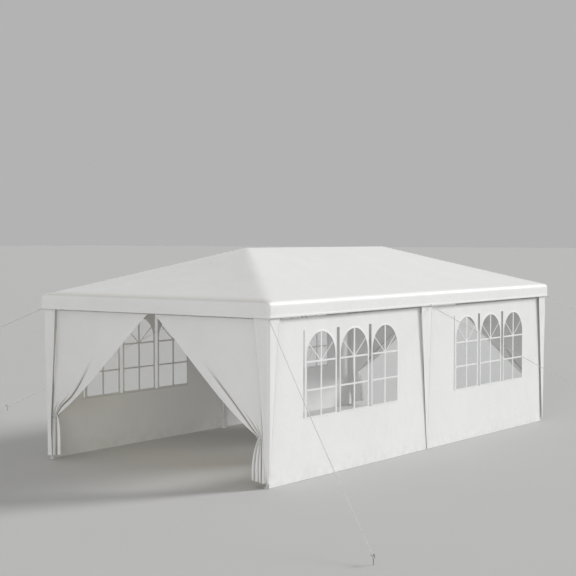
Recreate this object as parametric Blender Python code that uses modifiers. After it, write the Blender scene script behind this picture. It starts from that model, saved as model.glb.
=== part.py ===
"""A 3 x 6 m party tent: steel tube frame, polyethylene canopy and walls, guy ropes and stakes.

Metres, +Z up. X runs along the ridge, -Y is the sunny long side and -X the door end that shows.
The origin is on the ground under the middle of the ridge.
"""

import math

import bmesh
import bpy
from mathutils import Matrix, Vector

# Frame sizes
BAY_LENGTH = 3.01
LEG_SPAN = 2.97
RIDGE_LENGTH = 2.84
RIDGE_TOP = 2.33
ROOF_RISE = 0.4824
TUBE_RADIUS = 0.017
SOCKET_WALL = 0.0028
SOCKET_START = 0.062
SOCKET_END = 0.13
HUB_MARGIN = 0.0035
SOCKET_TWIST = 0.3
HUB_COLLAR = 0.03
HUB_DOME = ((-HUB_COLLAR, 1.0), (0.004, 1.0), (0.013, 0.8), (0.02, 0.5))
TUBE_END_PLAY = 0.0006
FOOT_RADIUS = 0.036
FOOT_THICKNESS = 0.006
FOOT_BOSS_WALL = 0.003
FOOT_BOSS_HEIGHT = 0.045
GAP = 0.0003
TUBE_SIDES = 16

# Canopy sizes
CANOPY_THICKNESS = 0.004
VALANCE_OUTSET = 0.085
VALANCE_DROP = 0.156
FOLD_RADIUS = 0.055
FOLD_STEPS = 6

# Wall sizes
WALL_THICKNESS = 0.003
WALL_TOP_SLOT = 0.024
WALL_HEM_HEIGHT = 0.003
WALL_CORNER_HEAD = 0.085
WALL_CORNER_FOOT = -0.03
OPEN_CORNER_HEAD = 0.149
OPEN_CORNER_FOOT = 0.04
WALL_MIDDLE_HEAD = 0.03
WALL_MIDDLE_FOOT = 0.002
OPEN_MIDDLE_HEAD = 0.152
OPEN_MIDDLE_FOOT = 0.014

# Window sizes
WINDOW_PITCH = 0.615
WINDOW_WIDTH = 0.515
WINDOW_SILL = 0.635
WINDOW_HEAD = 0.15
ARCH_STEPS = 12
SLIT_WIDTH = 0.052
OUTER_SLIT_WIDTH = 0.022
SLIT_SILL = 0.626
SLIT_HEAD = 0.125
FILM_THICKNESS = 0.0015
FILM_MARGIN = 0.02
LEFT_WINDOW_SHIFT = -0.025
RIGHT_WINDOW_SHIFT = 0.05

# Door curtain sizes
CURTAIN_THICKNESS = 0.004
CURTAIN_LEG_GAP = 0.0005
CURTAIN_TOP_SLOT = 0.012
CURTAIN_MEETING_GAP = 0.045
CURTAIN_HEAD_RETREAT = 0.13
TIE_HEIGHT = 0.49
TIE_LEG_DISTANCE = 0.07
NECK_HALF_WIDTH = 0.023
EDGE_SAG = 0.045
EDGE_STEPS = 8
BUNDLE_HEM_HEIGHT = 0.055
BUNDLE_HEM_RADIUS = 0.062
BUNDLE_LEAN = 0.04
BUNDLE_FLATTENING = 0.55
BUNDLE_SIDES = 20
STRAP_RADIUS = 0.006

# Leg cover sizes
COVER_THICKNESS = 0.003
COVER_TOP_MARGIN = 0.05
COVER_DROP_OUTSET = 0.067
COVER_FOOT_OUTSET = 0.045
COVER_HEM_HEIGHT = 0.045
CORNER_COVER_ARM = 0.12
WIDE_COVER_ARM = 0.151
CORNER_COVER_FOOT_ARM = -0.03
WIDE_COVER_FOOT_ARM = 0.015
CORNER_BEND_SHARE = 0.5
CORNER_BEND_STEPS = 5
OPEN_CORNERS = ("front_right", "rear_left")
MIDDLE_COVER_LEFT = 0.18
MIDDLE_COVER_RIGHT = 0.067
MIDDLE_COVER_FOOT = 0.015
MIDDLE_COVER_HEM = 0.02

# Guy rope and stake sizes
ROPE_RADIUS = 0.004
ROPE_SAG = 0.025
ROPE_POINTS = 14
STAKE_RADIUS = 0.004
STAKE_HEIGHT = 0.07
STAKE_HOOK_RADIUS = 0.014
STAKE_HOOK_TIP = 0.012
STAKE_HOOK_STEPS = 10
ROPE_TIE_HEIGHT = 0.06
STAKE_PLACES = {
    "front_left": (-5.008, -3.98),
    "front_middle": (0.381, -4.993),
    "front_right": (5.15, -4.23),
    "rear_left": (-5.15, 4.73),
    "rear_middle": (-0.495, 4.993),
    "rear_right": (5.008, 3.98),
}

# Worked out from the sizes above
HALF_SPAN = LEG_SPAN / 2
RIDGE_HALF = RIDGE_LENGTH / 2
HIP_RUN = BAY_LENGTH - RIDGE_HALF
SLOPE = ROOF_RISE / HALF_SPAN
COS_SLOPE = math.cos(math.atan(SLOPE))
BORE_RADIUS = (TUBE_RADIUS + GAP) / math.cos(math.pi / TUBE_SIDES)
SOCKET_RADIUS = BORE_RADIUS + SOCKET_WALL
HUB_RADIUS = SOCKET_RADIUS + HUB_MARGIN
AXIS_DROP = (CANOPY_THICKNESS + GAP + HUB_RADIUS) / COS_SLOPE
RIDGE_AXIS = RIDGE_TOP - AXIS_DROP
EAVE_AXIS = RIDGE_AXIS - ROOF_RISE
VALANCE_Y = HALF_SPAN + VALANCE_OUTSET
VALANCE_X = RIDGE_HALF + HIP_RUN * VALANCE_Y / HALF_SPAN
EAVE_FOLD = RIDGE_TOP - SLOPE * VALANCE_Y
VALANCE_BOTTOM = EAVE_FOLD - VALANCE_DROP
WALL_INNER = HALF_SPAN + FOOT_RADIUS + GAP
WALL_TOP = VALANCE_BOTTOM - WALL_TOP_SLOT
WINDOW_CROWN = WALL_TOP - WINDOW_HEAD
SLIT_TOP = WALL_TOP - SLIT_HEAD
CURTAIN_INNER = BAY_LENGTH + TUBE_RADIUS + CURTAIN_LEG_GAP

LEG_PLACES = {
    "front_left": (-1, -1),
    "front_middle": (0, -1),
    "front_right": (1, -1),
    "rear_left": (-1, 1),
    "rear_middle": (0, 1),
    "rear_right": (1, 1),
}


def collection(name):
    """Adds a collection to the scene."""
    made = bpy.data.collections.new(name)
    bpy.context.scene.collection.children.link(made)
    return made


def material(name, colour, roughness, metallic=0.0, alpha=1.0):
    """A Principled BSDF with one colour."""
    made = bpy.data.materials.new(name)
    made.use_nodes = True
    shader = made.node_tree.nodes["Principled BSDF"]
    shader.inputs["Base Color"].default_value = (*colour, 1.0)
    shader.inputs["Roughness"].default_value = roughness
    shader.inputs["Metallic"].default_value = metallic
    shader.inputs["Alpha"].default_value = alpha
    made.diffuse_color = (*colour, alpha)
    return made


def add_object(name, mesh, finish):
    """One named piece of the tent."""
    made = bpy.data.objects.new(name, mesh)
    PARTS.objects.link(made)
    if finish is not None and not mesh.materials:
        mesh.materials.append(finish)
    return made


def add_tool(name, mesh):
    """A shape that a Boolean joins to a piece or cuts from it."""
    made = bpy.data.objects.new(name, mesh)
    CUTTERS.objects.link(made)
    made.hide_render = True
    made.display_type = "WIRE"
    return made


def combine(piece, operation, name, mesh):
    """Joins a shape to the piece, or cuts it away."""
    modifier = piece.modifiers.new(name, "BOOLEAN")
    modifier.operation = operation
    modifier.object = add_tool(f"{piece.name}_{name}", mesh)


def mesh_from(build, name):
    """Runs a bmesh recipe into a new mesh."""
    shape = bmesh.new()
    build(shape)
    mesh = bpy.data.meshes.new(name)
    shape.to_mesh(mesh)
    shape.free()
    return mesh


def turned_mesh(name, start, towards, profile, sides=TUBE_SIDES, twist=0.0):
    """A round shape from distances and radii along a line, closed at its first and last rings."""
    start = Vector(start)
    run = Vector(towards) - start
    place = Matrix.Translation(start) @ run.to_track_quat("Z", "Y").to_matrix().to_4x4()

    def build(shape):
        rings = []
        for along, radius in profile:
            ring = []
            for number in range(sides):
                turn = math.tau * (number + twist) / sides
                spot = Vector((radius * math.cos(turn), radius * math.sin(turn), along))
                ring.append(shape.verts.new(place @ spot))
            rings.append(ring)
        for lower, upper in zip(rings, rings[1:]):
            for number in range(sides):
                after = (number + 1) % sides
                shape.faces.new((lower[number], lower[after], upper[after], upper[number]))
        shape.faces.new(rings[0])
        shape.faces.new(rings[-1])
        bmesh.ops.recalc_face_normals(shape, faces=shape.faces)

    return mesh_from(build, name)


def rod_mesh(name, start, end, radius, end_radius=None, sides=TUBE_SIDES):
    """A round bar or cone between two points."""
    reach = (Vector(end) - Vector(start)).length
    last = radius if end_radius is None else end_radius
    return turned_mesh(name, start, end, [(0, radius), (reach, last)], sides)


def slab_mesh(name, outlines, thickness, place):
    """A flat sheet from an outline and its holes, in the outline's plane, set in place by a matrix."""
    curve = bpy.data.curves.new(name, "CURVE")
    curve.dimensions = "2D"
    curve.fill_mode = "BOTH"
    curve.extrude = thickness / 2
    for outline in outlines:
        spline = curve.splines.new("POLY")
        spline.points.add(len(outline) - 1)
        for point, (across, up) in zip(spline.points, outline):
            point.co = (across, up, 0, 1)
        spline.use_cyclic_u = True
    guide = bpy.data.objects.new(name, curve)
    CUTTERS.objects.link(guide)
    graph = bpy.context.evaluated_depsgraph_get()
    mesh = bpy.data.meshes.new_from_object(guide.evaluated_get(graph))
    bpy.data.objects.remove(guide)
    shape = bmesh.new()
    shape.from_mesh(mesh)
    bmesh.ops.remove_doubles(shape, verts=shape.verts, dist=0.00001)
    bmesh.ops.transform(shape, matrix=place, verts=shape.verts)
    bmesh.ops.recalc_face_normals(shape, faces=shape.faces)
    shape.to_mesh(mesh)
    shape.free()
    return mesh


def tube_curve(name, points, radius, finish):
    """A rope or wire along a list of points, with closed ends."""
    curve = bpy.data.curves.new(name, "CURVE")
    curve.dimensions = "3D"
    curve.bevel_depth = radius
    curve.bevel_resolution = 2
    curve.use_fill_caps = True
    spline = curve.splines.new("POLY")
    spline.points.add(len(points) - 1)
    for point, place in zip(spline.points, points):
        point.co = (*place, 1)
    curve.materials.append(finish)
    made = bpy.data.objects.new(name, curve)
    PARTS.objects.link(made)
    return made


def smooth(piece):
    """Shades a round piece smooth, with its edges kept sharp."""
    piece.data.shade_smooth()
    piece.data.set_sharp_from_angle(angle=math.radians(40))


# Tube frame


def leg_top(column, side):
    """Where the tube axes meet over a leg."""
    return Vector((column * BAY_LENGTH, side * HALF_SPAN, EAVE_AXIS))


def ridge_point(column):
    """Where the rafter axes meet the ridge."""
    return Vector((column * RIDGE_HALF, 0, RIDGE_AXIS))


def dome(end, sign=1):
    """The collar and rounded end that close a tube at a hub, from the tube outwards."""
    return [(end + sign * along, HUB_RADIUS * share) for along, share in HUB_DOME]


def add_sockets(piece, centre, targets):
    """One open socket towards each tube that meets at a hub."""
    profile = [
        (SOCKET_START / 8, SOCKET_RADIUS),
        (SOCKET_END, SOCKET_RADIUS),
        (SOCKET_END, BORE_RADIUS),
        (SOCKET_START, BORE_RADIUS),
    ]
    for target in targets:
        socket = turned_mesh("socket", centre, target, profile, twist=SOCKET_TWIST)
        combine(piece, "UNION", f"socket_{len(piece.modifiers)}", socket)


def add_leg(name, column, side):
    """A leg with its foot plate, and the sockets that take the rails and the rafter."""
    top = leg_top(column, side)
    boss_radius = TUBE_RADIUS + FOOT_BOSS_WALL
    profile = [
        (0, FOOT_RADIUS),
        (FOOT_THICKNESS, FOOT_RADIUS),
        (FOOT_THICKNESS, boss_radius),
        (FOOT_BOSS_HEIGHT, boss_radius),
        (FOOT_BOSS_HEIGHT, TUBE_RADIUS),
        (EAVE_AXIS - HUB_COLLAR, TUBE_RADIUS),
        *dome(EAVE_AXIS),
    ]
    ground = Vector((top.x, top.y, 0))
    leg = add_object(f"leg_{name}", turned_mesh("leg", ground, top, profile), STEEL)
    if column == 0:
        held = [leg_top(-1, side), leg_top(1, side), ridge_point(0)]
    else:
        held = [leg_top(0, side), leg_top(column, -side), ridge_point(column)]
    add_sockets(leg, top, held)
    smooth(leg)


def add_ridge():
    """The ridge pole, with a collar and sockets at its ends and middle."""
    profile = [
        *dome(0, -1)[::-1],
        (HUB_COLLAR, TUBE_RADIUS),
        (RIDGE_HALF - HUB_COLLAR, TUBE_RADIUS),
        (RIDGE_HALF - HUB_COLLAR, HUB_RADIUS),
        (RIDGE_HALF + HUB_COLLAR, HUB_RADIUS),
        (RIDGE_HALF + HUB_COLLAR, TUBE_RADIUS),
        (RIDGE_LENGTH - HUB_COLLAR, TUBE_RADIUS),
        *dome(RIDGE_LENGTH),
    ]
    pole = turned_mesh("ridge", ridge_point(-1), ridge_point(1), profile)
    ridge = add_object("ridge_pole", pole, STEEL)
    for column in (-1, 0, 1):
        held = [leg_top(column, -1), leg_top(column, 1)]
        add_sockets(ridge, ridge_point(column), held)
    smooth(ridge)


def add_tube(name, start, end):
    """A straight tube whose ends stop inside their sockets."""
    ray = (end - start).normalized() * (SOCKET_START + TUBE_END_PLAY)
    tube = add_object(name, rod_mesh(name, start + ray, end - ray, TUBE_RADIUS), STEEL)
    smooth(tube)


def add_frame():
    """Legs, eave rails, rafters and the ridge pole."""
    for name, (column, side) in LEG_PLACES.items():
        add_leg(name, column, side)
    for side, face in ((-1, "front"), (1, "rear")):
        middle = leg_top(0, side)
        add_tube(f"eave_rail_{face}_left", leg_top(-1, side), middle)
        add_tube(f"eave_rail_{face}_right", middle, leg_top(1, side))
        add_tube(f"middle_rafter_{face}", middle, ridge_point(0))
        for column, end in ((-1, "left"), (1, "right")):
            corner = leg_top(column, side)
            add_tube(f"hip_rafter_{face}_{end}", corner, ridge_point(column))
    for column, end in ((-1, "left"), (1, "right")):
        add_tube(f"eave_rail_{end}_end", leg_top(column, -1), leg_top(column, 1))
    add_ridge()


# Canopy


def canopy_profile(inset):
    """Distance from the ridge, as a share of the leg line's, and height, down one face of the sheet."""
    bend = FOLD_RADIUS - inset
    centre_y = VALANCE_Y - FOLD_RADIUS
    centre_z = RIDGE_TOP - SLOPE * centre_y - FOLD_RADIUS / COS_SLOPE
    first = math.pi / 2 - math.atan(SLOPE)
    points = [(0.0, RIDGE_TOP - inset / COS_SLOPE)]
    for step in range(FOLD_STEPS + 1):
        turn = first * (1 - step / FOLD_STEPS)
        points.append((centre_y + bend * math.cos(turn), centre_z + bend * math.sin(turn)))
    points.append((VALANCE_Y - inset, VALANCE_BOTTOM))
    return [(distance / HALF_SPAN, height) for distance, height in points]


def canopy_panel_mesh(name, is_end):
    """A roof slope with its valance, mitred where it meets its neighbours along the hips."""
    section = canopy_profile(0.0) + canopy_profile(CANOPY_THICKNESS)[::-1]
    least = 4 * GAP / (HALF_SPAN if is_end else HIP_RUN)

    def build(shape):
        rings = []
        for share, height in section:
            share = max(share, least)
            if is_end:
                reach = RIDGE_HALF + HIP_RUN * share
                half = HALF_SPAN * share - GAP
                pair = ((-reach, half, height), (-reach, -half, height))
            else:
                half = RIDGE_HALF + HIP_RUN * share - GAP
                reach = HALF_SPAN * share
                pair = ((-half, -reach, height), (half, -reach, height))
            rings.append([shape.verts.new(place) for place in pair])
        count = len(rings)
        for index in range(count):
            here, after = rings[index], rings[(index + 1) % count]
            shape.faces.new((here[0], here[1], after[1], after[0]))
        shape.faces.new([ring[0] for ring in rings])
        shape.faces.new([ring[1] for ring in rings])
        bmesh.ops.recalc_face_normals(shape, faces=shape.faces)

    return mesh_from(build, name)


def add_canopy():
    """Four mitred panels, two long and two short."""
    for names, is_end in ((("front", "rear"), False), (("left", "right"), True)):
        for number, face in enumerate(names):
            name = f"canopy_{face}_panel"
            panel = add_object(name, canopy_panel_mesh(name, is_end), FABRIC)
            panel.rotation_euler.z = math.pi * number
            smooth(panel)


# Walls with windows


def arch_outline(centre, sill, crown, width):
    """A window with a half-round head."""
    radius = width / 2
    spring = crown - radius
    points = [(centre - radius, sill), (centre + radius, sill)]
    for step in range(ARCH_STEPS + 1):
        turn = math.pi * step / ARCH_STEPS
        points.append((centre + radius * math.cos(turn), spring + radius * math.sin(turn)))
    return points


def box_outline(left, right, bottom, top):
    """A rectangle's corners."""
    return [(left, bottom), (right, bottom), (right, top), (left, top)]


def upright(depth_middle, side, along_x=True):
    """Stands a flat sheet up, as seen from outside the tent, at its distance from the middle."""
    if along_x:
        turn = 0 if side < 0 else math.pi
        away = Vector((0, side * depth_middle, 0))
    else:
        turn = math.pi / 2 * side
        away = Vector((side * depth_middle, 0, 0))
    stand = Matrix.Rotation(turn, 4, "Z") @ Matrix.Rotation(math.pi / 2, 4, "X")
    return Matrix.Translation(away) @ stand


def window_outlines(middle, side):
    """Three arched panes, and a clear slit beside each on the side of the left door end."""
    holes = []
    for number in (-1, 0, 1):
        centre = middle + number * WINDOW_PITCH
        holes.append(arch_outline(centre, WINDOW_SILL, WINDOW_CROWN, WINDOW_WIDTH))
        half = (OUTER_SLIT_WIDTH if number == side else SLIT_WIDTH) / 2
        slit = centre + side * WINDOW_PITCH / 2
        holes.append(box_outline(slit - half, slit + half, SLIT_SILL, SLIT_TOP))
    return holes


def add_bay_wall(face, side, half):
    """One bay's wall and its window film. The half is -1 for the bay on the left as seen from outside."""
    bay = "left" if half * side > 0 else "right"
    if half < 0:
        corner_head, corner_foot = WALL_CORNER_HEAD, WALL_CORNER_FOOT
        middle_head, middle_foot = OPEN_MIDDLE_HEAD, OPEN_MIDDLE_FOOT
    else:
        corner_head, corner_foot = OPEN_CORNER_HEAD, OPEN_CORNER_FOOT
        middle_head, middle_foot = WALL_MIDDLE_HEAD, WALL_MIDDLE_FOOT
    outline = [
        (half * middle_foot, WALL_HEM_HEIGHT),
        (half * (BAY_LENGTH - corner_foot), WALL_HEM_HEIGHT),
        (half * (BAY_LENGTH - corner_head), WALL_TOP),
        (half * middle_head, WALL_TOP),
    ]
    shift = LEFT_WINDOW_SHIFT if half < 0 else RIGHT_WINDOW_SHIFT
    middle = half * BAY_LENGTH / 2 + shift
    place = upright(WALL_INNER + WALL_THICKNESS / 2, side)
    name = f"wall_{face}_{bay}"
    holes = window_outlines(middle, side)
    add_object(name, slab_mesh(name, [outline, *holes], WALL_THICKNESS, place), FABRIC)
    slit_edge = middle + side * (WINDOW_PITCH * 1.5 + OUTER_SLIT_WIDTH / 2 + FILM_MARGIN)
    pane_edge = middle - side * (WINDOW_PITCH + WINDOW_WIDTH / 2 + FILM_MARGIN)
    sheet = box_outline(
        min(slit_edge, pane_edge), max(slit_edge, pane_edge), SLIT_SILL - FILM_MARGIN, SLIT_TOP + FILM_MARGIN
    )
    place = upright(WALL_INNER - GAP - FILM_THICKNESS / 2, side)
    name = f"window_film_{face}_{bay}"
    add_object(name, slab_mesh(name, [sheet], FILM_THICKNESS, place), FILM)


def add_walls():
    """Two bays on each long side."""
    for face, side in (("front", -1), ("rear", 1)):
        for half in (-1, 1):
            add_bay_wall(face, side, half)


# Door curtains


def curtain_edge():
    """The drooping inner edge of a tied-back curtain, from the tie up to where the two meet."""
    tie = HALF_SPAN - TIE_LEG_DISTANCE - NECK_HALF_WIDTH
    head = VALANCE_BOTTOM - CURTAIN_TOP_SLOT
    points = []
    for step in range(EDGE_STEPS + 1):
        share = step / EDGE_STEPS
        across = tie + (CURTAIN_MEETING_GAP - tie) * share
        height = TIE_HEIGHT + (head - TIE_HEIGHT) * share - EDGE_SAG * 4 * share * (1 - share)
        points.append((across, height))
    return points


def add_curtain(end, side, half):
    """One half of the door, drawn to its leg and hanging in a bundle below the tie."""
    face = "front" if half * side < 0 else "rear"
    name = f"door_curtain_{end}_{face}"
    neck = HALF_SPAN - TIE_LEG_DISTANCE
    outer = neck + NECK_HALF_WIDTH
    head = VALANCE_BOTTOM - CURTAIN_TOP_SLOT
    outline = [*curtain_edge(), (HALF_SPAN - CURTAIN_HEAD_RETREAT, head), (outer, TIE_HEIGHT)]
    outline = [(half * across, up) for across, up in outline]
    middle = CURTAIN_INNER + CURTAIN_THICKNESS / 2
    place = upright(middle, side, along_x=False)
    sheet = slab_mesh(name, [outline], CURTAIN_THICKNESS, place)
    curtain = add_object(name, sheet, FABRIC)
    side_y = half * neck * side
    inward = -math.copysign(BUNDLE_LEAN, side_y)
    foot = Vector((0, inward, BUNDLE_HEM_HEIGHT))
    tied = Vector((0, 0, TIE_HEIGHT + NECK_HALF_WIDTH))
    bundle = rod_mesh("bundle", foot, tied, BUNDLE_HEM_RADIUS, NECK_HALF_WIDTH, BUNDLE_SIDES)
    flatten = Matrix.Diagonal((BUNDLE_FLATTENING, 1, 1, 1))
    bundle.transform(Matrix.Translation((side * middle, side_y, 0)) @ flatten)
    combine(curtain, "UNION", "bundle", bundle)
    start = Vector((side * middle, side_y, TIE_HEIGHT))
    leg = Vector((side * BAY_LENGTH, math.copysign(HALF_SPAN, side_y), TIE_HEIGHT))
    finish = leg + (start - leg).normalized() * (TUBE_RADIUS + GAP)
    combine(curtain, "UNION", "strap", rod_mesh("strap", start, finish, STRAP_RADIUS))


def add_curtains():
    """Two tied-back curtains at each end."""
    for end, side in (("left", -1), ("right", 1)):
        for half in (-1, 1):
            add_curtain(end, side, half)


# Leg covers


def cover_rows(top_outset):
    """Heights and outsets from the leg line down a leg cover."""
    top = EAVE_FOLD - COVER_TOP_MARGIN
    return (
        (top, top_outset - CANOPY_THICKNESS - GAP),
        (VALANCE_BOTTOM - GAP, COVER_DROP_OUTSET),
        (COVER_HEM_HEIGHT, COVER_FOOT_OUTSET),
    )


def sheet_mesh(name, rows):
    """An open surface through rows of points."""

    def build(shape):
        grid = [[shape.verts.new(place) for place in row] for row in rows]
        for upper, lower in zip(grid, grid[1:]):
            for index in range(len(upper) - 1):
                shape.faces.new((upper[index], lower[index], lower[index + 1], upper[index + 1]))

    return mesh_from(build, name)


def thicken(piece, thickness):
    """Gives an open surface its thickness, on the inner side."""
    modifier = piece.modifiers.new("thickness", "SOLIDIFY")
    modifier.thickness = thickness
    modifier.offset = -1.0
    modifier.use_even_offset = True


def add_corner_cover(name, column, side):
    """A fabric sleeve that wraps round a corner leg, wide under the valance and narrow at the foot."""
    side_arm = WIDE_COVER_ARM if name in OPEN_CORNERS else CORNER_COVER_ARM
    outset_x = VALANCE_X - BAY_LENGTH
    rows = []
    for number, (height, outset) in enumerate(cover_rows(VALANCE_OUTSET)):
        side_inner = CORNER_COVER_FOOT_ARM if number == 2 else side_arm
        end_foot_arm = WIDE_COVER_FOOT_ARM if name in OPEN_CORNERS else CORNER_COVER_FOOT_ARM
        end_inner = end_foot_arm if number == 2 else CORNER_COVER_ARM
        extra = outset_x - VALANCE_OUTSET if number == 0 else 0
        out_x, out_y = outset + extra, outset
        bend = min(out_x, out_y, outset + side_inner, outset + end_inner) * CORNER_BEND_SHARE
        row = [(-side_inner, out_y)]
        for step in range(CORNER_BEND_STEPS + 1):
            turn = math.pi / 2 * (1 - step / CORNER_BEND_STEPS)
            row.append((out_x - bend + bend * math.cos(turn), out_y - bend + bend * math.sin(turn)))
        row.append((out_x, -end_inner))
        place = [
            (column * (BAY_LENGTH + x), side * (HALF_SPAN + y), height) for x, y in row
        ]
        rows.append(place if column * side < 0 else place[::-1])
    cover = add_object(f"leg_cover_{name}", sheet_mesh("cover", rows), FABRIC)
    thicken(cover, COVER_THICKNESS)


def add_middle_cover(name, side):
    """A fabric strip in front of a middle leg, narrowing to the ground."""
    rows = []
    for number, (height, outset) in enumerate(cover_rows(VALANCE_OUTSET)):
        left, right = MIDDLE_COVER_LEFT, MIDDLE_COVER_RIGHT
        if number == 2:
            left = right = MIDDLE_COVER_FOOT
            height = MIDDLE_COVER_HEM
        reach = side * (HALF_SPAN + outset)
        rows.append([(side * left, reach, height), (0, reach, height), (-side * right, reach, height)])
    cover = add_object(f"leg_cover_{name}", sheet_mesh("cover", rows), FABRIC)
    thicken(cover, COVER_THICKNESS)


def add_covers():
    """A cover on each leg."""
    for name, (column, side) in LEG_PLACES.items():
        if column:
            add_corner_cover(name, column, side)
        else:
            add_middle_cover(name, side)


# Guy ropes and stakes


def rope_points(start, end):
    """A taut rope with a little sag."""
    points = []
    for step in range(ROPE_POINTS + 1):
        share = step / ROPE_POINTS
        point = start.lerp(end, share)
        point.z -= ROPE_SAG * 4 * share * (1 - share)
        points.append(point)
    return points


def add_guy(name, column, side):
    """A rope from the valance's hem to its stake, and the stake."""
    hem_x = column * (VALANCE_X - CANOPY_THICKNESS)
    hem_y = side * (VALANCE_Y - CANOPY_THICKNESS / 2)
    start = Vector((hem_x, hem_y, VALANCE_BOTTOM - GAP - ROPE_RADIUS))
    stake = Vector((*STAKE_PLACES[name], 0))
    away = Vector((stake.x - start.x, stake.y - start.y, 0)).normalized()
    lean = math.atan2(start.z - ROPE_TIE_HEIGHT, (stake - start).length)
    reach = STAKE_RADIUS + GAP + ROPE_RADIUS * math.sin(lean)
    tie = stake - away * reach + Vector((0, 0, ROPE_TIE_HEIGHT))
    tube_curve(f"guy_rope_{name}", rope_points(start, tie), ROPE_RADIUS, ROPE)
    points = [stake, stake + Vector((0, 0, STAKE_HEIGHT))]
    for step in range(1, STAKE_HOOK_STEPS + 1):
        turn = math.pi * step / STAKE_HOOK_STEPS
        out = away * STAKE_HOOK_RADIUS * (1 - math.cos(turn))
        rise = Vector((0, 0, STAKE_HEIGHT + STAKE_HOOK_RADIUS * math.sin(turn)))
        points.append(stake + out + rise)
    points.append(points[-1] - Vector((0, 0, STAKE_HOOK_TIP)))
    tube_curve(f"stake_{name}", points, STAKE_RADIUS, ZINC)


def add_guys():
    """A rope and a stake for each leg."""
    for name, (column, side) in LEG_PLACES.items():
        add_guy(name, column, side)


for startup in list(bpy.data.objects):
    bpy.data.objects.remove(startup)
PARTS = collection("party_tent")
CUTTERS = collection("cutters")
FABRIC = material("white_polyethylene", (0.82, 0.82, 0.80), 0.55)
FILM = material("clear_film", (0.85, 0.9, 0.92), 0.08, alpha=0.3)
STEEL = material("white_painted_steel", (0.8, 0.8, 0.78), 0.35)
ROPE = material("white_rope", (0.78, 0.76, 0.7), 0.8)
ZINC = material("zinc_steel", (0.5, 0.5, 0.5), 0.4, metallic=1.0)
add_frame()
add_canopy()
add_walls()
add_curtains()
add_covers()
add_guys()
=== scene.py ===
"""Looks of a white 3 x 6 m party tent: cloth, window film, tube finish, ropes and a plain studio.

Metres, +Z up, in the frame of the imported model. X runs along the ridge, -Y is the sunny long side and
-X the door end that faces the camera. A wall or curtain is drawn flat first, as seen from outside, with
the distance across, the height and the depth outwards, and is then set in its place.
"""

import logging
import math
from dataclasses import dataclass, field
from enum import Enum
from typing import Any, Callable, Sequence

import bmesh
import bpy
import numpy as np
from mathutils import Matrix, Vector, noise
from mathutils.geometry import delaunay_2d_cdt


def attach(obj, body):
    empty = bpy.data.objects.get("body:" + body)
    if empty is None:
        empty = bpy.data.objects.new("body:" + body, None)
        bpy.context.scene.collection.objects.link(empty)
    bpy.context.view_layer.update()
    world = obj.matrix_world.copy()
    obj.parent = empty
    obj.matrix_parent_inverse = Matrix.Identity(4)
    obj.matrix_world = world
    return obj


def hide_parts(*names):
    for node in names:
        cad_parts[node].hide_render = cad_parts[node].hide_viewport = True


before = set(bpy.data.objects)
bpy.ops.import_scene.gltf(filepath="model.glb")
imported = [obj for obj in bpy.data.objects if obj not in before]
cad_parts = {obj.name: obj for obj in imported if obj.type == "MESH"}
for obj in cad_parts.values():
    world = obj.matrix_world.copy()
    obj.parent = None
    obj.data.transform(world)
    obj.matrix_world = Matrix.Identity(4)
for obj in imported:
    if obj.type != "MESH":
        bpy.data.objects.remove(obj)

LOG = logging.getLogger("party_tent")
Array = np.ndarray
Socket = bpy.types.NodeSocket
Material = bpy.types.Material
Piece = bpy.types.Object
Colour = tuple[float, float, float]
Feeds = dict[Any, Any]
Face = tuple[int, ...]
COLUMN_WORDS = {-1: "left", 0: "middle", 1: "right"}
UP = np.array([0.0, 0.0, 1.0])


class Place(Enum):
    """A side or an end of the tent, with its sign along its axis."""

    @property
    def word(self) -> str:
        """Its word in node names."""
        return self.name.lower()


class Side(Place):
    """The two long sides."""

    FRONT = -1
    REAR = 1


class End(Place):
    """The two door ends."""

    LEFT = -1
    RIGHT = 1


class Slot(Enum):
    """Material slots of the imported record."""

    CLOTH = "white_polyethylene"
    FILM = "clear_film"
    STEEL = "white_painted_steel"
    ROPE = "white_rope"
    ZINC = "zinc_steel"


@dataclass(frozen=True)
class TentSizes:
    """Main sizes of the tent, as the solids have them."""

    bay: float = 3.01
    half_span: float = 1.485
    ridge_half: float = 1.42
    ridge_top: float = 2.33
    roof_rise: float = 0.4824
    hub_radius: float = 0.0239
    valance_outset: float = 0.085
    valance_drop: float = 0.156
    fold_radius: float = 0.055
    wall_inner: float = 1.5213
    wall_thickness: float = 0.003
    curtain_inner: float = 3.0275

    @property
    def slope(self) -> float:
        """Fall of the long slopes for each metre outwards."""
        return self.roof_rise / self.half_span

    @property
    def cosine(self) -> float:
        """Cosine of the long slopes' angle."""
        return math.cos(math.atan(self.slope))

    @property
    def stretch(self) -> float:
        """Distance along the ridge for each metre across it, down an end slope."""
        return (self.bay - self.ridge_half) / self.half_span

    @property
    def valance_y(self) -> float:
        """Distance of the long valances from the ridge."""
        return self.half_span + self.valance_outset

    @property
    def valance_x(self) -> float:
        """Distance of the end valances from the middle."""
        return self.ridge_half + self.stretch * self.valance_y

    @property
    def eave(self) -> float:
        """Height at which the roof planes meet the valance."""
        return self.ridge_top - self.slope * self.valance_y

    @property
    def hem(self) -> float:
        """Height of the valance's lower edge."""
        return self.eave - self.valance_drop

    @property
    def rail_height(self) -> float:
        """Height of the eave rails' axes."""
        return self.ridge_top - (0.0043 + self.hub_radius) / self.cosine - self.roof_rise


TENT = TentSizes()


# Working tools


def points_of(*parts: Array | float) -> Array:
    """Points from their coordinates, one row each."""
    return np.stack(np.broadcast_arrays(*parts), axis=-1)


def unit(way: Array) -> Array:
    """The same direction, one long."""
    return way / np.linalg.norm(way)


def smooth_step(value: Array | float, low: float, high: float) -> Array:
    """A soft rise from 0 at low to 1 at high."""
    share = np.clip((np.asarray(value, float) - low) / (high - low), 0.0, 1.0)
    return share * share * (3 - 2 * share)


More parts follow.
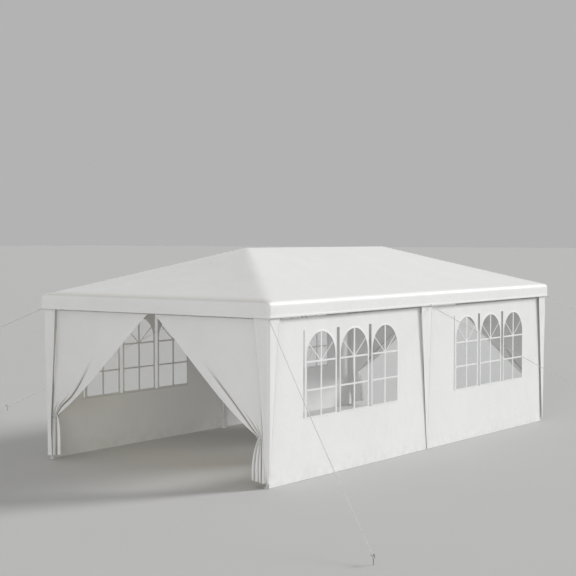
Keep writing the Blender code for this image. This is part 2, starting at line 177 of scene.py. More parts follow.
def ripples(across: Array, up: Array, size: tuple[float, float], seed: float) -> Array:
    """Smooth noise over a sheet.

    Args:
        across: Distances across the sheet.
        up: Distances up it.
        size: Length of a ripple in both directions.
        seed: Picks one pattern.

    Returns:
        Values from about -1 to 1, in the shape of across.
    """
    flat = zip(np.ravel(across) / size[0], np.ravel(up) / size[1])
    values = [noise.noise((a + seed * 7.31, u - seed * 3.17, seed)) for a, u in flat]
    return np.array(values).reshape(np.shape(across))


def chain(count: int, closed: bool = False, start: int = 0) -> list[tuple[int, int]]:
    """Edges that join points in a row."""
    pairs = [(start + step, start + step + 1) for step in range(count - 1)]
    return pairs + [(start + count - 1, start)] if closed else pairs


def grid_faces(rows: int, columns: int, tube: bool = False) -> list[Face]:
    """Faces of a grid of points, row after row.

    Args:
        rows: Number of rows.
        columns: Number of points in a row.
        tube: Whether the rows, and each row, close on themselves.

    Returns:
        Four-sided faces as indices.
    """
    faces = []
    for row in range(rows if tube else rows - 1):
        here, there = row * columns, (row + 1) % rows * columns
        for step in range(columns if tube else columns - 1):
            after = (step + 1) % columns
            faces.append((here + step, here + after, there + after, there + step))
    return faces


def add_object(name: str, data: bpy.types.ID) -> Piece:
    """Links a new object to the scene."""
    made = bpy.data.objects.new(name, data)
    bpy.context.scene.collection.objects.link(made)
    return made


def new_piece(
    name: str, points: Array, faces: Sequence[Face], finish: Material, cloth: Array | None = None
) -> Piece:
    """A mesh object from points and faces.

    Args:
        name: The piece's name.
        points: One row for each point.
        faces: Faces as indices.
        finish: Its material.
        cloth: Flat cloth coordinates in metres, one row for each point, for the UV map.

    Returns:
        The object, linked to the scene.
    """
    mesh = bpy.data.meshes.new(name)
    mesh.from_pydata(np.asarray(points, float).reshape(-1, 3).tolist(), [], [list(f) for f in faces])
    mesh.materials.append(finish)
    if cloth is not None:
        corners = np.zeros(len(mesh.loops), dtype=np.int32)
        mesh.loops.foreach_get("vertex_index", corners)
        flat = np.asarray(cloth, float).reshape(-1, 2)[corners].astype(np.float32)
        mesh.uv_layers.new(name="cloth").data.foreach_set("uv", flat.ravel())
    mesh.shade_smooth()
    return add_object(name, mesh)


def applied(piece: Piece, keep: bool = False) -> bpy.types.Mesh:
    """The piece's mesh with its modifiers applied, and all its data layers kept where asked."""
    graph = bpy.context.evaluated_depsgraph_get()
    return bpy.data.meshes.new_from_object(
        piece.evaluated_get(graph), preserve_all_data_layers=keep, depsgraph=graph
    )


def thicken(piece: Piece, thickness: float) -> None:
    """Gives a sheet its thickness on the inner side, with crisp cut edges."""
    modifier = piece.modifiers.new("thickness", "SOLIDIFY")
    modifier.thickness = thickness
    modifier.offset = -1.0
    solid = applied(piece, keep=True)
    piece.modifiers.clear()
    piece.data = solid
    solid.name = piece.name
    solid.set_sharp_from_angle(angle=math.radians(60))


def weld(mesh: bpy.types.Mesh, distance: float = 0.00001, turn: bool = True) -> None:
    """Merges doubled points and turns every face outwards where asked."""
    shape = bmesh.new()
    shape.from_mesh(mesh)
    bmesh.ops.remove_doubles(shape, verts=shape.verts, dist=distance)
    if turn:
        bmesh.ops.recalc_face_normals(shape, faces=shape.faces)
    shape.to_mesh(mesh)
    shape.free()


def join_pieces(name: str, pieces: Sequence[Piece]) -> Piece:
    """Joins several mesh objects into one.

    Args:
        name: The joined piece's name.
        pieces: Objects at the origin, which are removed.

    Returns:
        The joined object.
    """
    shape = bmesh.new()
    finishes: list[Material] = []
    for piece in pieces:
        before = len(shape.faces)
        shape.from_mesh(piece.data)
        shape.faces.ensure_lookup_table()
        own = piece.data.materials[0]
        if own not in finishes:
            finishes.append(own)
        for index in range(before, len(shape.faces)):
            shape.faces[index].material_index = finishes.index(own)
        bpy.data.objects.remove(piece)
    mesh = bpy.data.meshes.new(name)
    shape.to_mesh(mesh)
    shape.free()
    for own in finishes:
        mesh.materials.append(own)
    return add_object(name, mesh)


def publish(piece: Piece, slot: Slot, *nodes: str) -> None:
    """Parents a finished piece to the root empty and hides the imported nodes that it stands for.

    Args:
        piece: The piece.
        slot: The material slot that it takes its finish from; not used.
        *nodes: Nodes that it stands for.
    """
    if nodes:
        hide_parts(*nodes)
    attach(piece, "root")
    LOG.info("%s: %d points, stands for %s", piece.name, len(piece.data.vertices), nodes or "no node")


class Board:
    """Adds nodes to a shader or geometry tree and wires them."""

    def __init__(self, tree: bpy.types.NodeTree) -> None:
        """Starts on a tree."""
        self.tree = tree

    def feed(self, node: bpy.types.Node, feeds: Feeds) -> bpy.types.Node:
        """Wires a node.

        Args:
            node: The node.
            feeds: Values or output sockets for its inputs, by name or number.

        Returns:
            The same node.
        """
        for name, value in feeds.items():
            if isinstance(value, Socket):
                self.tree.links.new(value, node.inputs[name])
            else:
                node.inputs[name].default_value = value
        return node

    def add(self, kind: str, feeds: Feeds | None = None, **settings: Any) -> bpy.types.Node:
        """Adds one node.

        Args:
            kind: The node's type name.
            feeds: Values or output sockets for its inputs.
            **settings: Properties of the node.

        Returns:
            The new node.
        """
        node = self.tree.nodes.new(kind)
        for name, value in settings.items():
            setattr(node, name, value)
        return self.feed(node, feeds or {})

    def out(self, kind: str, feeds: Feeds | None = None, **settings: Any) -> Socket:
        """Adds one node and hands back its first output."""
        return self.add(kind, feeds, **settings).outputs[0]

    def maths(self, operation: str, first: Any, second: Any = 0.0) -> Socket:
        """One arithmetic step."""
        return self.out("ShaderNodeMath", {0: first, 1: second}, operation=operation)

    def span(self, value: Any, low: float, high: float, start: float, end: float) -> Socket:
        """Maps a value from low..high to start..end, held at both ends."""
        return self.out("ShaderNodeMapRange", {0: value, 1: low, 2: high, 3: start, 4: end})


# Finishes


class Paint(Board):
    """The board of a new material, with short ways to what most finishes need."""

    def __init__(self, name: str) -> None:
        """Makes the material, with only its Principled shader."""
        self.material = bpy.data.materials.new(name)
        self.material.use_nodes = True
        super().__init__(self.material.node_tree)
        self.spot = self.add("ShaderNodeTexCoord").outputs["Object"]

    def noise(self, scale: float, detail: float, roughness: float = 0.5) -> Socket:
        """Noise from 0 to 1 in the piece's own space."""
        feeds = {"Vector": self.spot, "Scale": scale, "Detail": detail, "Roughness": roughness}
        return self.out("ShaderNodeTexNoise", feeds)

    def bump(self, height: Socket, distance: float, strength: float, over: Socket | None = None) -> Socket:
        """A bumpy normal, on top of another one where given."""
        feeds = {"Height": height, "Distance": distance, "Strength": strength}
        return self.out("ShaderNodeBump", feeds if over is None else {**feeds, "Normal": over})

    def mix(self, share: Socket, first: Socket | Colour, second: Colour) -> Socket:
        """A colour between two."""
        start = first if isinstance(first, Socket) else (*first, 1)
        return self.add("ShaderNodeMix", {0: share, 6: start, 7: (*second, 1)}, data_type="RGBA").outputs[2]

    def finish(self, feeds: Feeds) -> Material:
        """Feeds the shader and hands back the material."""
        self.feed(self.tree.nodes["Principled BSDF"], feeds)
        return self.material


@dataclass(frozen=True)
class ClothFinish:
    """Woven polyethylene with a soft sheen, faint creases, a dusty tint near the ground, and painted shade in
    the eave fold at the door ends and in the curtain valleys.
    """

    name: str = "woven_polyethylene"
    colour: Colour = (0.83, 0.83, 0.822)
    shade: Colour = (0.79, 0.79, 0.785)
    # Colour of the dusty tint near the ground, also used for the painted shade band in the eave fold.
    dust: Colour = (0.66, 0.64, 0.59)
    foot_dust: float = 0.55
    # Strength of the painted shade band in the eave fold at the door ends.
    fold_dust: float = 0.55
    dusty_height: float = 0.22
    # Heights where the painted shade band in the eave fold fades in and out.
    eave_fold: tuple[float, float, float, float] = (1.808, 1.832, 1.842, 1.868)
    # Colour of the painted shade in the curtains' valleys.
    crevice_shade: Colour = (0.34, 0.3, 0.245)
    crevice_shade_share: float = 0.85
    tape: float = 0.0016
    tape_rise: float = 0.00012
    crease: float = 0.0032
    gloss: tuple[float, float] = (0.44, 0.56)

    def material(self) -> Material:
        """Builds the material."""
        paint = Paint(self.name)
        flat = {"Vector": paint.out("ShaderNodeUVMap", uv_map="cloth"), "Scale": math.pi / (20 * self.tape)}
        bands = [paint.add("ShaderNodeTexWave", flat, bands_direction=way).outputs["Fac"] for way in "XY"]
        soft = paint.noise(7.0, 4.0)
        drift = {0: soft.node.outputs["Color"], 1: (0.35, 0.35, 0.35)}
        bent = paint.out("ShaderNodeVectorMath", drift, operation="MULTIPLY")
        moved = paint.out("ShaderNodeVectorMath", {0: paint.spot, 1: bent}, operation="ADD")
        cells = paint.out("ShaderNodeTexVoronoi", {"Vector": moved, "Scale": 4.5}, feature="DISTANCE_TO_EDGE")
        creases = paint.maths("ADD", paint.span(cells, 0.0, 0.16, 0.3, 0.0), soft)
        coarse = paint.bump(creases, self.crease, 0.5)
        fine = paint.bump(paint.maths("MULTIPLY", *bands), self.tape_rise, 0.5, coarse)
        patches = paint.noise(2.2, 5.0)
        tone = paint.mix(paint.span(patches, 0.35, 0.68, 0.0, 0.8), self.colour, self.shade)
        along, _, height = paint.add("ShaderNodeSeparateXYZ", {0: paint.spot}).outputs
        low = paint.span(height, 0.0, self.dusty_height, self.foot_dust, 0.0)
        dusty = paint.maths("MULTIPLY", low, paint.span(paint.noise(11.0, 6.0), 0.42, 0.75, 0.0, 1.0))
        # Painted shade: a band in the eave fold at the door ends is darkened towards the dusty colour,
        # standing in for shade there.
        above = paint.span(height, *self.eave_fold[:2], 0.0, 1.0)
        below = paint.span(height, *self.eave_fold[2:], 1.0, 0.0)
        at_end = paint.span(paint.maths("ABSOLUTE", along), 2.96, 3.03, 0.0, self.fold_dust)
        folded = paint.maths("MULTIPLY", at_end, paint.maths("MULTIPLY", above, below))
        dusted_and_fold_shaded = paint.mix(paint.maths("ADD", dusty, folded), tone, self.dust)
        # Painted shade: the curtains' valleys are darkened towards a brown by the fold attribute.
        valley_shade = paint.add("ShaderNodeAttribute", attribute_name="fold").outputs["Fac"]
        colour = paint.mix(paint.maths("MULTIPLY", valley_shade, self.crevice_shade_share), dusted_and_fold_shaded, self.crevice_shade)
        rough = paint.span(patches, 0.3, 0.7, *self.gloss)
        return paint.finish({"Base Color": colour, "Normal": fine, "Roughness": rough, "Sheen Weight": 0.08})


@dataclass(frozen=True)
class FilmFinish:
    """Clear window film with a faint ripple."""

    name: str = "clear_window_film"
    colour: Colour = (0.84, 0.87, 0.88)
    opacity: float = 0.1

    def material(self) -> Material:
        """Builds the material."""
        paint = Paint(self.name)
        return paint.finish({
            "Normal": paint.bump(paint.noise(5.0, 2.0), 0.004, 0.6),
            "Roughness": paint.span(paint.noise(30.0, 4.0), 0.3, 0.7, 0.04, 0.14),
            "Base Color": (*self.colour, 1),
            "Alpha": self.opacity,
            "Specular IOR Level": 0.9,
        })


@dataclass(frozen=True)
class PatchyFinish:
    """One colour with patches of another, and a fine grain.

    The patches have a noise scale, detail and roughness, and then the noise at which they begin and are
    full, and how full. The grain has a noise scale and detail, and the bump's distance and strength. The
    roughness is even, or follows the patches' noise between two pairs of limits.
    """

    name: str
    colour: Colour
    patch: Colour
    patches: tuple[float, float, float]
    limits: tuple[float, float, float]
    grain: tuple[float, float, float, float] | None
    roughness: float | tuple[float, float, float, float]
    levels: tuple[tuple[str, float], ...] = ()

    def material(self) -> Material:
        """Builds the material."""
        paint = Paint(self.name)
        patches = paint.noise(*self.patches)
        begin, full, most = self.limits
        share = paint.span(patches, begin, full, 0.0, most)
        feeds: Feeds = {"Base Color": paint.mix(share, self.colour, self.patch)}
        if self.grain:
            feeds["Normal"] = paint.bump(paint.noise(*self.grain[:2]), *self.grain[2:])
        even = isinstance(self.roughness, float)
        feeds["Roughness"] = self.roughness if even else paint.span(patches, *self.roughness)
        return paint.finish({**feeds, **dict(self.levels)})


POWDER_COAT = PatchyFinish(
    "white_powder_coat", (0.78, 0.78, 0.765), (0.5, 0.49, 0.47), (38.0, 8.0, 0.7), (0.66, 0.74, 0.7),
    (650.0, 2.0, 0.0001, 0.4), (0.3, 0.75, 0.28, 0.5), (("Coat Weight", 0.2),),
)
CORD_FINISH = PatchyFinish(
    "twisted_cord", (0.76, 0.74, 0.69), (0.55, 0.53, 0.48), (35.0, 3.0, 0.5), (0.35, 0.7, 0.7),
    (420.0, 3.0, 0.0004, 0.6), 0.78, (("Sheen Weight", 0.2),),
)
THREAD_FINISH = PatchyFinish(
    "white_thread", (0.8, 0.8, 0.78), (0.66, 0.66, 0.64), (75.0, 3.0, 0.5), (0.35, 0.7, 0.7),
    (900.0, 3.0, 0.0004, 0.6), 0.78, (("Sheen Weight", 0.2),),
)
DULL_ZINC = PatchyFinish(
    "dull_zinc", (0.42, 0.43, 0.44), (0.24, 0.24, 0.24), (140.0, 6.0, 0.5), (0.4, 0.68, 0.9),
    (140.0, 6.0, 0.0002, 0.5), (0.3, 0.7, 0.32, 0.6), (("Metallic", 1.0),),
)
PALE_FLOOR = PatchyFinish(
    "pale_floor", (0.54, 0.54, 0.535), (0.5238, 0.5238, 0.51895), (0.6, 3.0, 0.5), (0.0, 1.0, 1.0), None, 0.85
)


@dataclass(frozen=True)
class Finishes:
    """The finished materials that the classes share."""

    cloth: Material = field(default_factory=ClothFinish().material)
    film: Material = field(default_factory=FilmFinish().material)
    steel: Material = field(default_factory=POWDER_COAT.material)
    rope: Material = field(default_factory=CORD_FINISH.material)
    thread: Material = field(default_factory=THREAD_FINISH.material)
    zinc: Material = field(default_factory=DULL_ZINC.material)


# Geometry Nodes trees


class GrowingTree:
    """A geometry node tree that turns guide lines or points into a plain mesh."""

    title = "tree"
    inputs: dict[str, str] = {}

    def __init__(self) -> None:
        """Builds the tree once."""
        self.tree = bpy.data.node_groups.new(self.title, "GeometryNodeTree")
        add_socket = self.tree.interface.new_socket
        for name, kind in {"Geometry": "Geometry", **self.inputs, "Finish": "Material"}.items():
            add_socket(name, in_out="INPUT", socket_type=f"NodeSocket{kind}")
        add_socket("Geometry", in_out="OUTPUT", socket_type="NodeSocketGeometry")
        board = Board(self.tree)
        given = board.add("NodeGroupInput").outputs
        whole = board.out("GeometryNodeRealizeInstances", {0: self.shape(board, given)})
        dressed = board.out("GeometryNodeSetMaterial", {0: whole, "Material": given["Finish"]})
        board.add("NodeGroupOutput", {0: dressed})

    def shape(self, board: Board, given: Any) -> Socket:
        """Wires the middle of the tree.

        Args:
            board: The board on the tree.
            given: The group's inputs by name, as output sockets.

        Returns:
            The socket with the shape.
        """
        raise NotImplementedError

    @staticmethod
    def line(board: Board, given: Any) -> Socket:
        """The guide as a level curve with a point every step."""
        curve = board.out("GeometryNodeMeshToCurve", {0: given["Geometry"]})
        feeds = {"Curve": curve, "Length": given["Step"]}
        even = board.out("GeometryNodeResampleCurve", feeds, mode="LENGTH")
        return board.out("GeometryNodeSetCurveNormal", {0: even}, mode="Z_UP")

    def grow(
        self,
        name: str,
        points: Array,
        links: Sequence[tuple[int, int]],
        values: dict[str, Any],
        where: Callable[[Array], Array] | None = None,
        aims: Array | None = None,
    ) -> Piece:
        """Runs the tree on guide lines or points.

        Args:
            name: The new piece's name.
            points: The guide's points.
            links: Its edges.
            values: The tree's inputs by name, with the material as Finish.
            where: Sets the drawn shape in its place.
            aims: One direction for each point, stored as an attribute.

        Returns:
            A plain mesh object without modifiers.
        """
        mesh = bpy.data.meshes.new(f"{name}_guide")
        mesh.from_pydata(np.asarray(points, float).tolist(), [tuple(map(int, pair)) for pair in links], [])
        if aims is not None:
            kept = mesh.attributes.new("aim", "FLOAT_VECTOR", "POINT")
            kept.data.foreach_set("vector", np.asarray(aims, np.float32).ravel())
        guide = add_object(mesh.name, mesh)
        modifier = guide.modifiers.new("grow", "NODES")
        modifier.node_group = self.tree
        for item in self.tree.interface.items_tree:
            if item.in_out == "INPUT" and item.name in values:
                modifier[item.identifier] = values[item.name]
        grown = applied(guide)
        bpy.data.objects.remove(guide)
        if where is not None:
            spots = np.zeros(len(grown.vertices) * 3, dtype=np.float32)
            grown.vertices.foreach_get("co", spots)
            placed = where(spots.reshape(-1, 3).astype(float)).astype(np.float32)
            grown.vertices.foreach_set("co", placed.ravel())
            grown.update()
        grown.name = name
        grown.shade_smooth()
        grown.set_sharp_from_angle(angle=math.radians(40))
        return add_object(name, grown)


class FlatBars(GrowingTree):
    """Flat bars or straps along guide lines, repeated at a pitch."""

    title = "flat_bars"
    inputs = {"Width": "Float", "Thickness": "Float", "Step": "Float", "Count": "Int", "Pitch": "Vector"}

    def shape(self, board: Board, given: Any) -> Socket:
        """Sweeps a rectangle along the guide and repeats it."""
        sides = {"Width": given["Width"], "Height": given["Thickness"]}
        section = board.out("GeometryNodeCurvePrimitiveQuadrilateral", sides)
        sweep = {0: self.line(board, given), 1: section, "Fill Caps": True}
        bar = board.out("GeometryNodeCurveToMesh", sweep)
        row = board.out("GeometryNodeMeshLine", {"Count": given["Count"], "Offset": given["Pitch"]})
        return board.out("GeometryNodeInstanceOnPoints", {"Points": row, "Instance": bar})


class Cord(GrowingTree):
    """A twisted cord of several strands along a guide line."""

    title = "twisted_cord"
    inputs = {
        "Radius": "Float",
        "Lay": "Float",
        "Strands": "Int",
        "Sides": "Int",
        "Groove": "Float",
        "Step": "Float",
    }

    def shape(self, board: Board, given: Any) -> Socket:
        """Sweeps a lobed section that turns once in each lay."""
        along = board.add("GeometryNodeSplineParameter").outputs["Length"]
        tilt = board.maths("MULTIPLY", board.maths("DIVIDE", along, given["Lay"]), math.tau)
        twisted = board.out("GeometryNodeSetCurveTilt", {"Curve": self.line(board, given), "Tilt": tilt})
        circle = {"Resolution": given["Sides"], "Radius": given["Radius"]}
        ring = board.out("GeometryNodeCurvePrimitiveCircle", circle)
        spot = board.out("GeometryNodeInputPosition")
        x, y, _ = board.add("ShaderNodeSeparateXYZ", {0: spot}).outputs
        lobes = board.maths("COSINE", board.maths("MULTIPLY", board.maths("ARCTAN2", y, x), given["Strands"]))
        dip = board.maths("MULTIPLY", board.maths("SUBTRACT", lobes, 1.0), given["Groove"])
        size = {0: spot, "Scale": board.maths("ADD", dip, 1.0)}
        lobed = board.out("ShaderNodeVectorMath", size, operation="SCALE")
        section = board.out("GeometryNodeSetPosition", {"Geometry": ring, "Position": lobed})
        return board.out("GeometryNodeCurveToMesh", {0: twisted, 1: section, "Fill Caps": True})


class Stitches(GrowingTree):
    """A row of thread stitches along guide lines."""

    title = "stitches"
    inputs = {"Step": "Float", "Length": "Float", "Thread": "Float"}

    def shape(self, board: Board, given: Any) -> Socket:
        """Sets one small rounded stitch at each step."""
        feeds = {0: self.line(board, given), "Length": given["Step"]}
        row = board.add("GeometryNodeCurveToPoints", feeds, mode="LENGTH").outputs
        bead = board.out("GeometryNodeMeshIcoSphere", {"Radius": 0.5, "Subdivisions": 1})
        size = board.out("ShaderNodeCombineXYZ", {0: given["Thread"], 1: given["Thread"], 2: given["Length"]})
        spread = {"Points": row["Points"], "Instance": bead, "Rotation": row["Rotation"], "Scale": size}
        return board.out("GeometryNodeInstanceOnPoints", spread)


class Rings(GrowingTree):
    """Eyelets or buttons: one turned ring or dome at each guide point, facing its own way."""

    title = "rings"
    inputs = {"Major": "Float", "Minor": "Float", "Sides": "Int"}

    def shape(self, board: Board, given: Any) -> Socket:
        """Sweeps a small circle round a larger one and sets it on the points."""
        circle = "GeometryNodeCurvePrimitiveCircle"
        large = board.out(circle, {"Resolution": given["Sides"], "Radius": given["Major"]})
        small = board.out(circle, {"Resolution": 8, "Radius": given["Minor"]})
        ring = board.out("GeometryNodeCurveToMesh", {0: large, 1: small})
        aim = board.out("GeometryNodeInputNamedAttribute", {"Name": "aim"}, data_type="FLOAT_VECTOR")
        turn = board.out("FunctionNodeAlignRotationToVector", {"Vector": aim}, axis="Z")
        spread = {"Points": given["Geometry"], "Instance": ring, "Rotation": turn}
        return board.out("GeometryNodeInstanceOnPoints", spread)


@dataclass(frozen=True)
class Trees:
    """The node trees that the classes share."""

    bars: FlatBars = field(default_factory=FlatBars)
    cord: Cord = field(default_factory=Cord)
    stitches: Stitches = field(default_factory=Stitches)
    rings: Rings = field(default_factory=Rings)


@dataclass
class Assembly:
    """A sub-assembly, with the finishes and node trees that all of them share."""

    finishes: Finishes
    trees: Trees


@dataclass
class LegAssembly(Assembly):
    """A sub-assembly that belongs to one of the six legs."""

    column: int
    side: Side

    @property
    def word(self) -> str:
        """The leg's place in node names."""
        return f"{self.side.word}_{COLUMN_WORDS[self.column]}"


# Canopy


@dataclass
class Canopy(Assembly):
    """The roof and its valance as one sewn sheet, drawn over the ridge, hips and eave rails."""

    thickness: float = 0.0014
    hip_width: float = 0.082
    corner_width: float = 0.04
    cell: float = 0.05
    fine_cell: float = 0.013
    sag: float = 0.009
    crease_heights: tuple[float, float] = (0.0022, 0.0011)
    ridge_rounding: float = 0.02
    hem_width: float = 0.022
    hem_rise: float = 0.0012
    wave: float = 0.0028
    girth: float = 18.5
    fold_turn: float = math.pi / 2 - math.atan(TENT.slope)
    fold_steps: int = 9

    def levels(self) -> Array:
        """Distances from the ridge at which the sheet has a row of points, out to the fold."""
        fold = TENT.valance_y - TENT.fold_radius * (1 - math.cos(self.fold_turn))
        near = [0.0, 0.012, 0.03, 0.055, 0.09, 0.13]
        middle = np.arange(0.18, fold - 0.14, self.cell)
        last = np.linspace(fold - 0.13, fold, round(0.13 / self.fine_cell) + 1)
        return np.concatenate([near, middle, last])

    def place(self, x: Array, y: Array, height: Array | float, level: Array | float) -> Array:
        """Rounds the hips and corners.

        Args:
            x: Distances along the ridge, on rings with square corners.
            y: Distances across it.
            height: Heights.
            level: Each point's ring.

        Returns:
            Points, one row each.
        """
        over = (np.abs(x) - TENT.ridge_half) / TENT.stretch
        narrowing = (self.corner_width - self.hip_width) * smooth_step(level, TENT.half_span, TENT.valance_y)
        width = self.hip_width + narrowing
        pull = np.clip(width - np.abs(over - np.abs(y)), 0, None) ** 2 / (4 * width)
        pull = np.where(over > 0, pull, 0.0) * smooth_step(level, 0.1, 0.5)
        return points_of(x - np.sign(x) * pull * TENT.stretch, y - np.sign(y) * pull, height)

    def roof_height(self, x: Array, y: Array, level: Array) -> Array:
        """Height of the sheet on the slopes, with its sag between the tubes and its creases."""
        outer = self.levels()[-1]
        share = level / outer
        soft = np.sqrt(level**2 + self.ridge_rounding**2) - self.ridge_rounding
        blend = soft + self.ridge_rounding * smooth_step(share, 0.0, 1.0)
        over = (np.abs(x) - TENT.ridge_half) / TENT.stretch
        end_span = np.cos(np.clip(np.abs(y) / np.maximum(level, 1e-6), 0, 1) * math.pi / 2)
        reach = TENT.ridge_half + level * TENT.stretch
        side_span = np.sin(np.clip(np.abs(x) / reach, 0, 1) * math.pi)
        across = np.where(over >= np.abs(y) - 1e-9, end_span, side_span)
        drop = self.sag * np.sin(math.pi * share) * across**0.8
        calm = smooth_step(level, 0.03, 0.25) * smooth_step(outer - level, 0.0, 0.12)
        broad, fine = self.crease_heights
        creases = broad * ripples(x, y, (0.62, 0.38), 1.3) + fine * ripples(x + y, x - y, (0.5, 0.13), 2.7)
        return TENT.ridge_top - TENT.slope * blend - drop + creases * calm * (0.3 + 0.7 * across)

    def fold_rings(self) -> list[tuple[float, float, float]]:
        """Ring level, height and length of cloth from the fold's start, down to the hem."""
        radius, first = TENT.fold_radius, self.fold_turn
        centre = TENT.valance_y - radius
        middle = TENT.ridge_top - TENT.slope * centre - radius / TENT.cosine
        turns = [first * (1 - step / self.fold_steps) for step in range(1, self.fold_steps + 1)]
        rings = [
            (centre + radius * math.cos(turn), middle + radius * math.sin(turn), radius * (first - turn))
            for turn in turns
        ]
        cloth = rings[-1][2]
        top = TENT.hem + self.hem_width
        down = [(float(height), 0.0) for height in np.linspace(middle, top + 0.004, 6)[1:]]
        hem = TENT.hem
        down += [(top, 0.2), (top - 0.002, 1.0), (hem + 0.011, 1.1), (hem + 0.001, 1.0), (hem, 0.5)]
        return rings + [
            (TENT.valance_y + self.hem_rise * rise, height, cloth + middle - height) for height, rise in down
        ]

    def build(self) -> Piece:
        """Makes the sheet: a grid on the slopes, and rings round the fold and down the valance."""
        levels = self.levels()
        outer = levels[-1]
        ridge = np.linspace(-TENT.ridge_half, TENT.ridge_half, round(2 * TENT.ridge_half / self.cell) + 1)
        arm = TENT.ridge_half + levels[1:] * TENT.stretch
        x, y = np.meshgrid(np.concatenate([-arm[::-1], ridge, arm]), np.concatenate([-levels[:0:-1], levels]))
        level = np.maximum(np.maximum((np.abs(x) - TENT.ridge_half) / TENT.stretch, np.abs(y)), 0.0)
        points = [self.place(x, y, self.roof_height(x, y, level), level).reshape(-1, 3)]
        cloth = [points_of(x, y).reshape(-1, 2)]
        faces = grid_faces(*x.shape)
        index = np.arange(x.size).reshape(x.shape)
        last = np.concatenate([index[0, :-1], index[:-1, -1], index[-1, :0:-1], index[:0:-1, 0]])
        edge_x, edge_y = x.ravel()[last], y.ravel()[last]
        reach = TENT.ridge_half + outer * TENT.stretch
        around = np.concatenate([[0.0], np.cumsum(np.hypot(np.diff(edge_x), np.diff(edge_y)))])
        turn = around / self.girth * math.tau
        sway = ripples(np.cos(turn) * 3, np.sin(turn) * 3, (0.14, 0.14), 4.1)
        away = points_of(edge_x / reach, edge_y / outer) ** 9
        away /= np.maximum(np.linalg.norm(away, axis=1, keepdims=True), 1e-6)
        total = x.size
        for ring_level, height, run in self.fold_rings():
            scale = (TENT.ridge_half + ring_level * TENT.stretch) / reach
            ring = self.place(edge_x * scale, edge_y * ring_level / outer, height, ring_level)
            hang = smooth_step(TENT.eave - 0.03 - height, 0.0, 0.12)
            ring[:, :2] += away * (sway * self.wave * hang)[:, None]
            points.append(ring)
            grown = (outer + run) / outer
            cloth.append(points_of(edge_x + (reach * (grown - 1)) * edge_x / reach, edge_y * grown))
            here = total + np.arange(len(last))
            faces += zip(np.roll(last, -1), last, here, np.roll(here, -1))
            last = here
            total += len(here)
        piece = new_piece("canopy", np.concatenate(points), faces, self.finishes.cloth, np.concatenate(cloth))
        thicken(piece, self.thickness)
        self.hem_ring = points[-3]
        return piece

    def stitch(self) -> Piece:
        """A row of stitches round the hem."""
        spots = self.hem_ring.copy()
        spots[:, 2] = TENT.hem + self.hem_width - 0.004
        spots[:, :2] += spots[:, :2] / np.linalg.norm(spots[:, :2], axis=1, keepdims=True) * 0.0004
        values = {"Step": 0.011, "Length": 0.0075, "Thread": 0.0011, "Finish": self.finishes.thread}
        return self.trees.stitches.grow("canopy_hem_stitches", spots, chain(len(spots), True), values)

    def dress(self) -> None:
        sheet = self.build()
        stitches = self.stitch()
        publish(sheet, Slot.CLOTH, *(f"canopy_{face}_panel" for face in ("front", "rear", "left", "right")))
        publish(stitches, Slot.CLOTH)
        held = ["ridge_pole"] + [f"hip_rafter_{side.word}_{end.word}" for side in Side for end in End]


# Window walls


@dataclass(frozen=True)
class WindowSizes:
    """One window's sizes, shared by the walls."""

    pitch: float = 0.615
    width: float = 0.515
    sill: float = 0.635
    crown: float = 1.4901
    slit: float = 0.052
    outer_slit: float = 0.022
    slit_sill: float = 0.626
    slit_top: float = 1.5151
    film_margin: float = 0.02
    film_thickness: float = 0.0008
    upright: float = 0.026
    rail: float = 0.019
    ray: float = 0.011
    bar_lap: float = 0.006
    rails: tuple[float, float] = (0.903, 1.19)
    ray_end: tuple[float, float] = (0.224, 1.378)
    weld: float = 0.02
    weld_rise: float = 0.0007

    @property
    def spring(self) -> float:
        """Height at which the arch begins."""
        return self.crown - self.width / 2


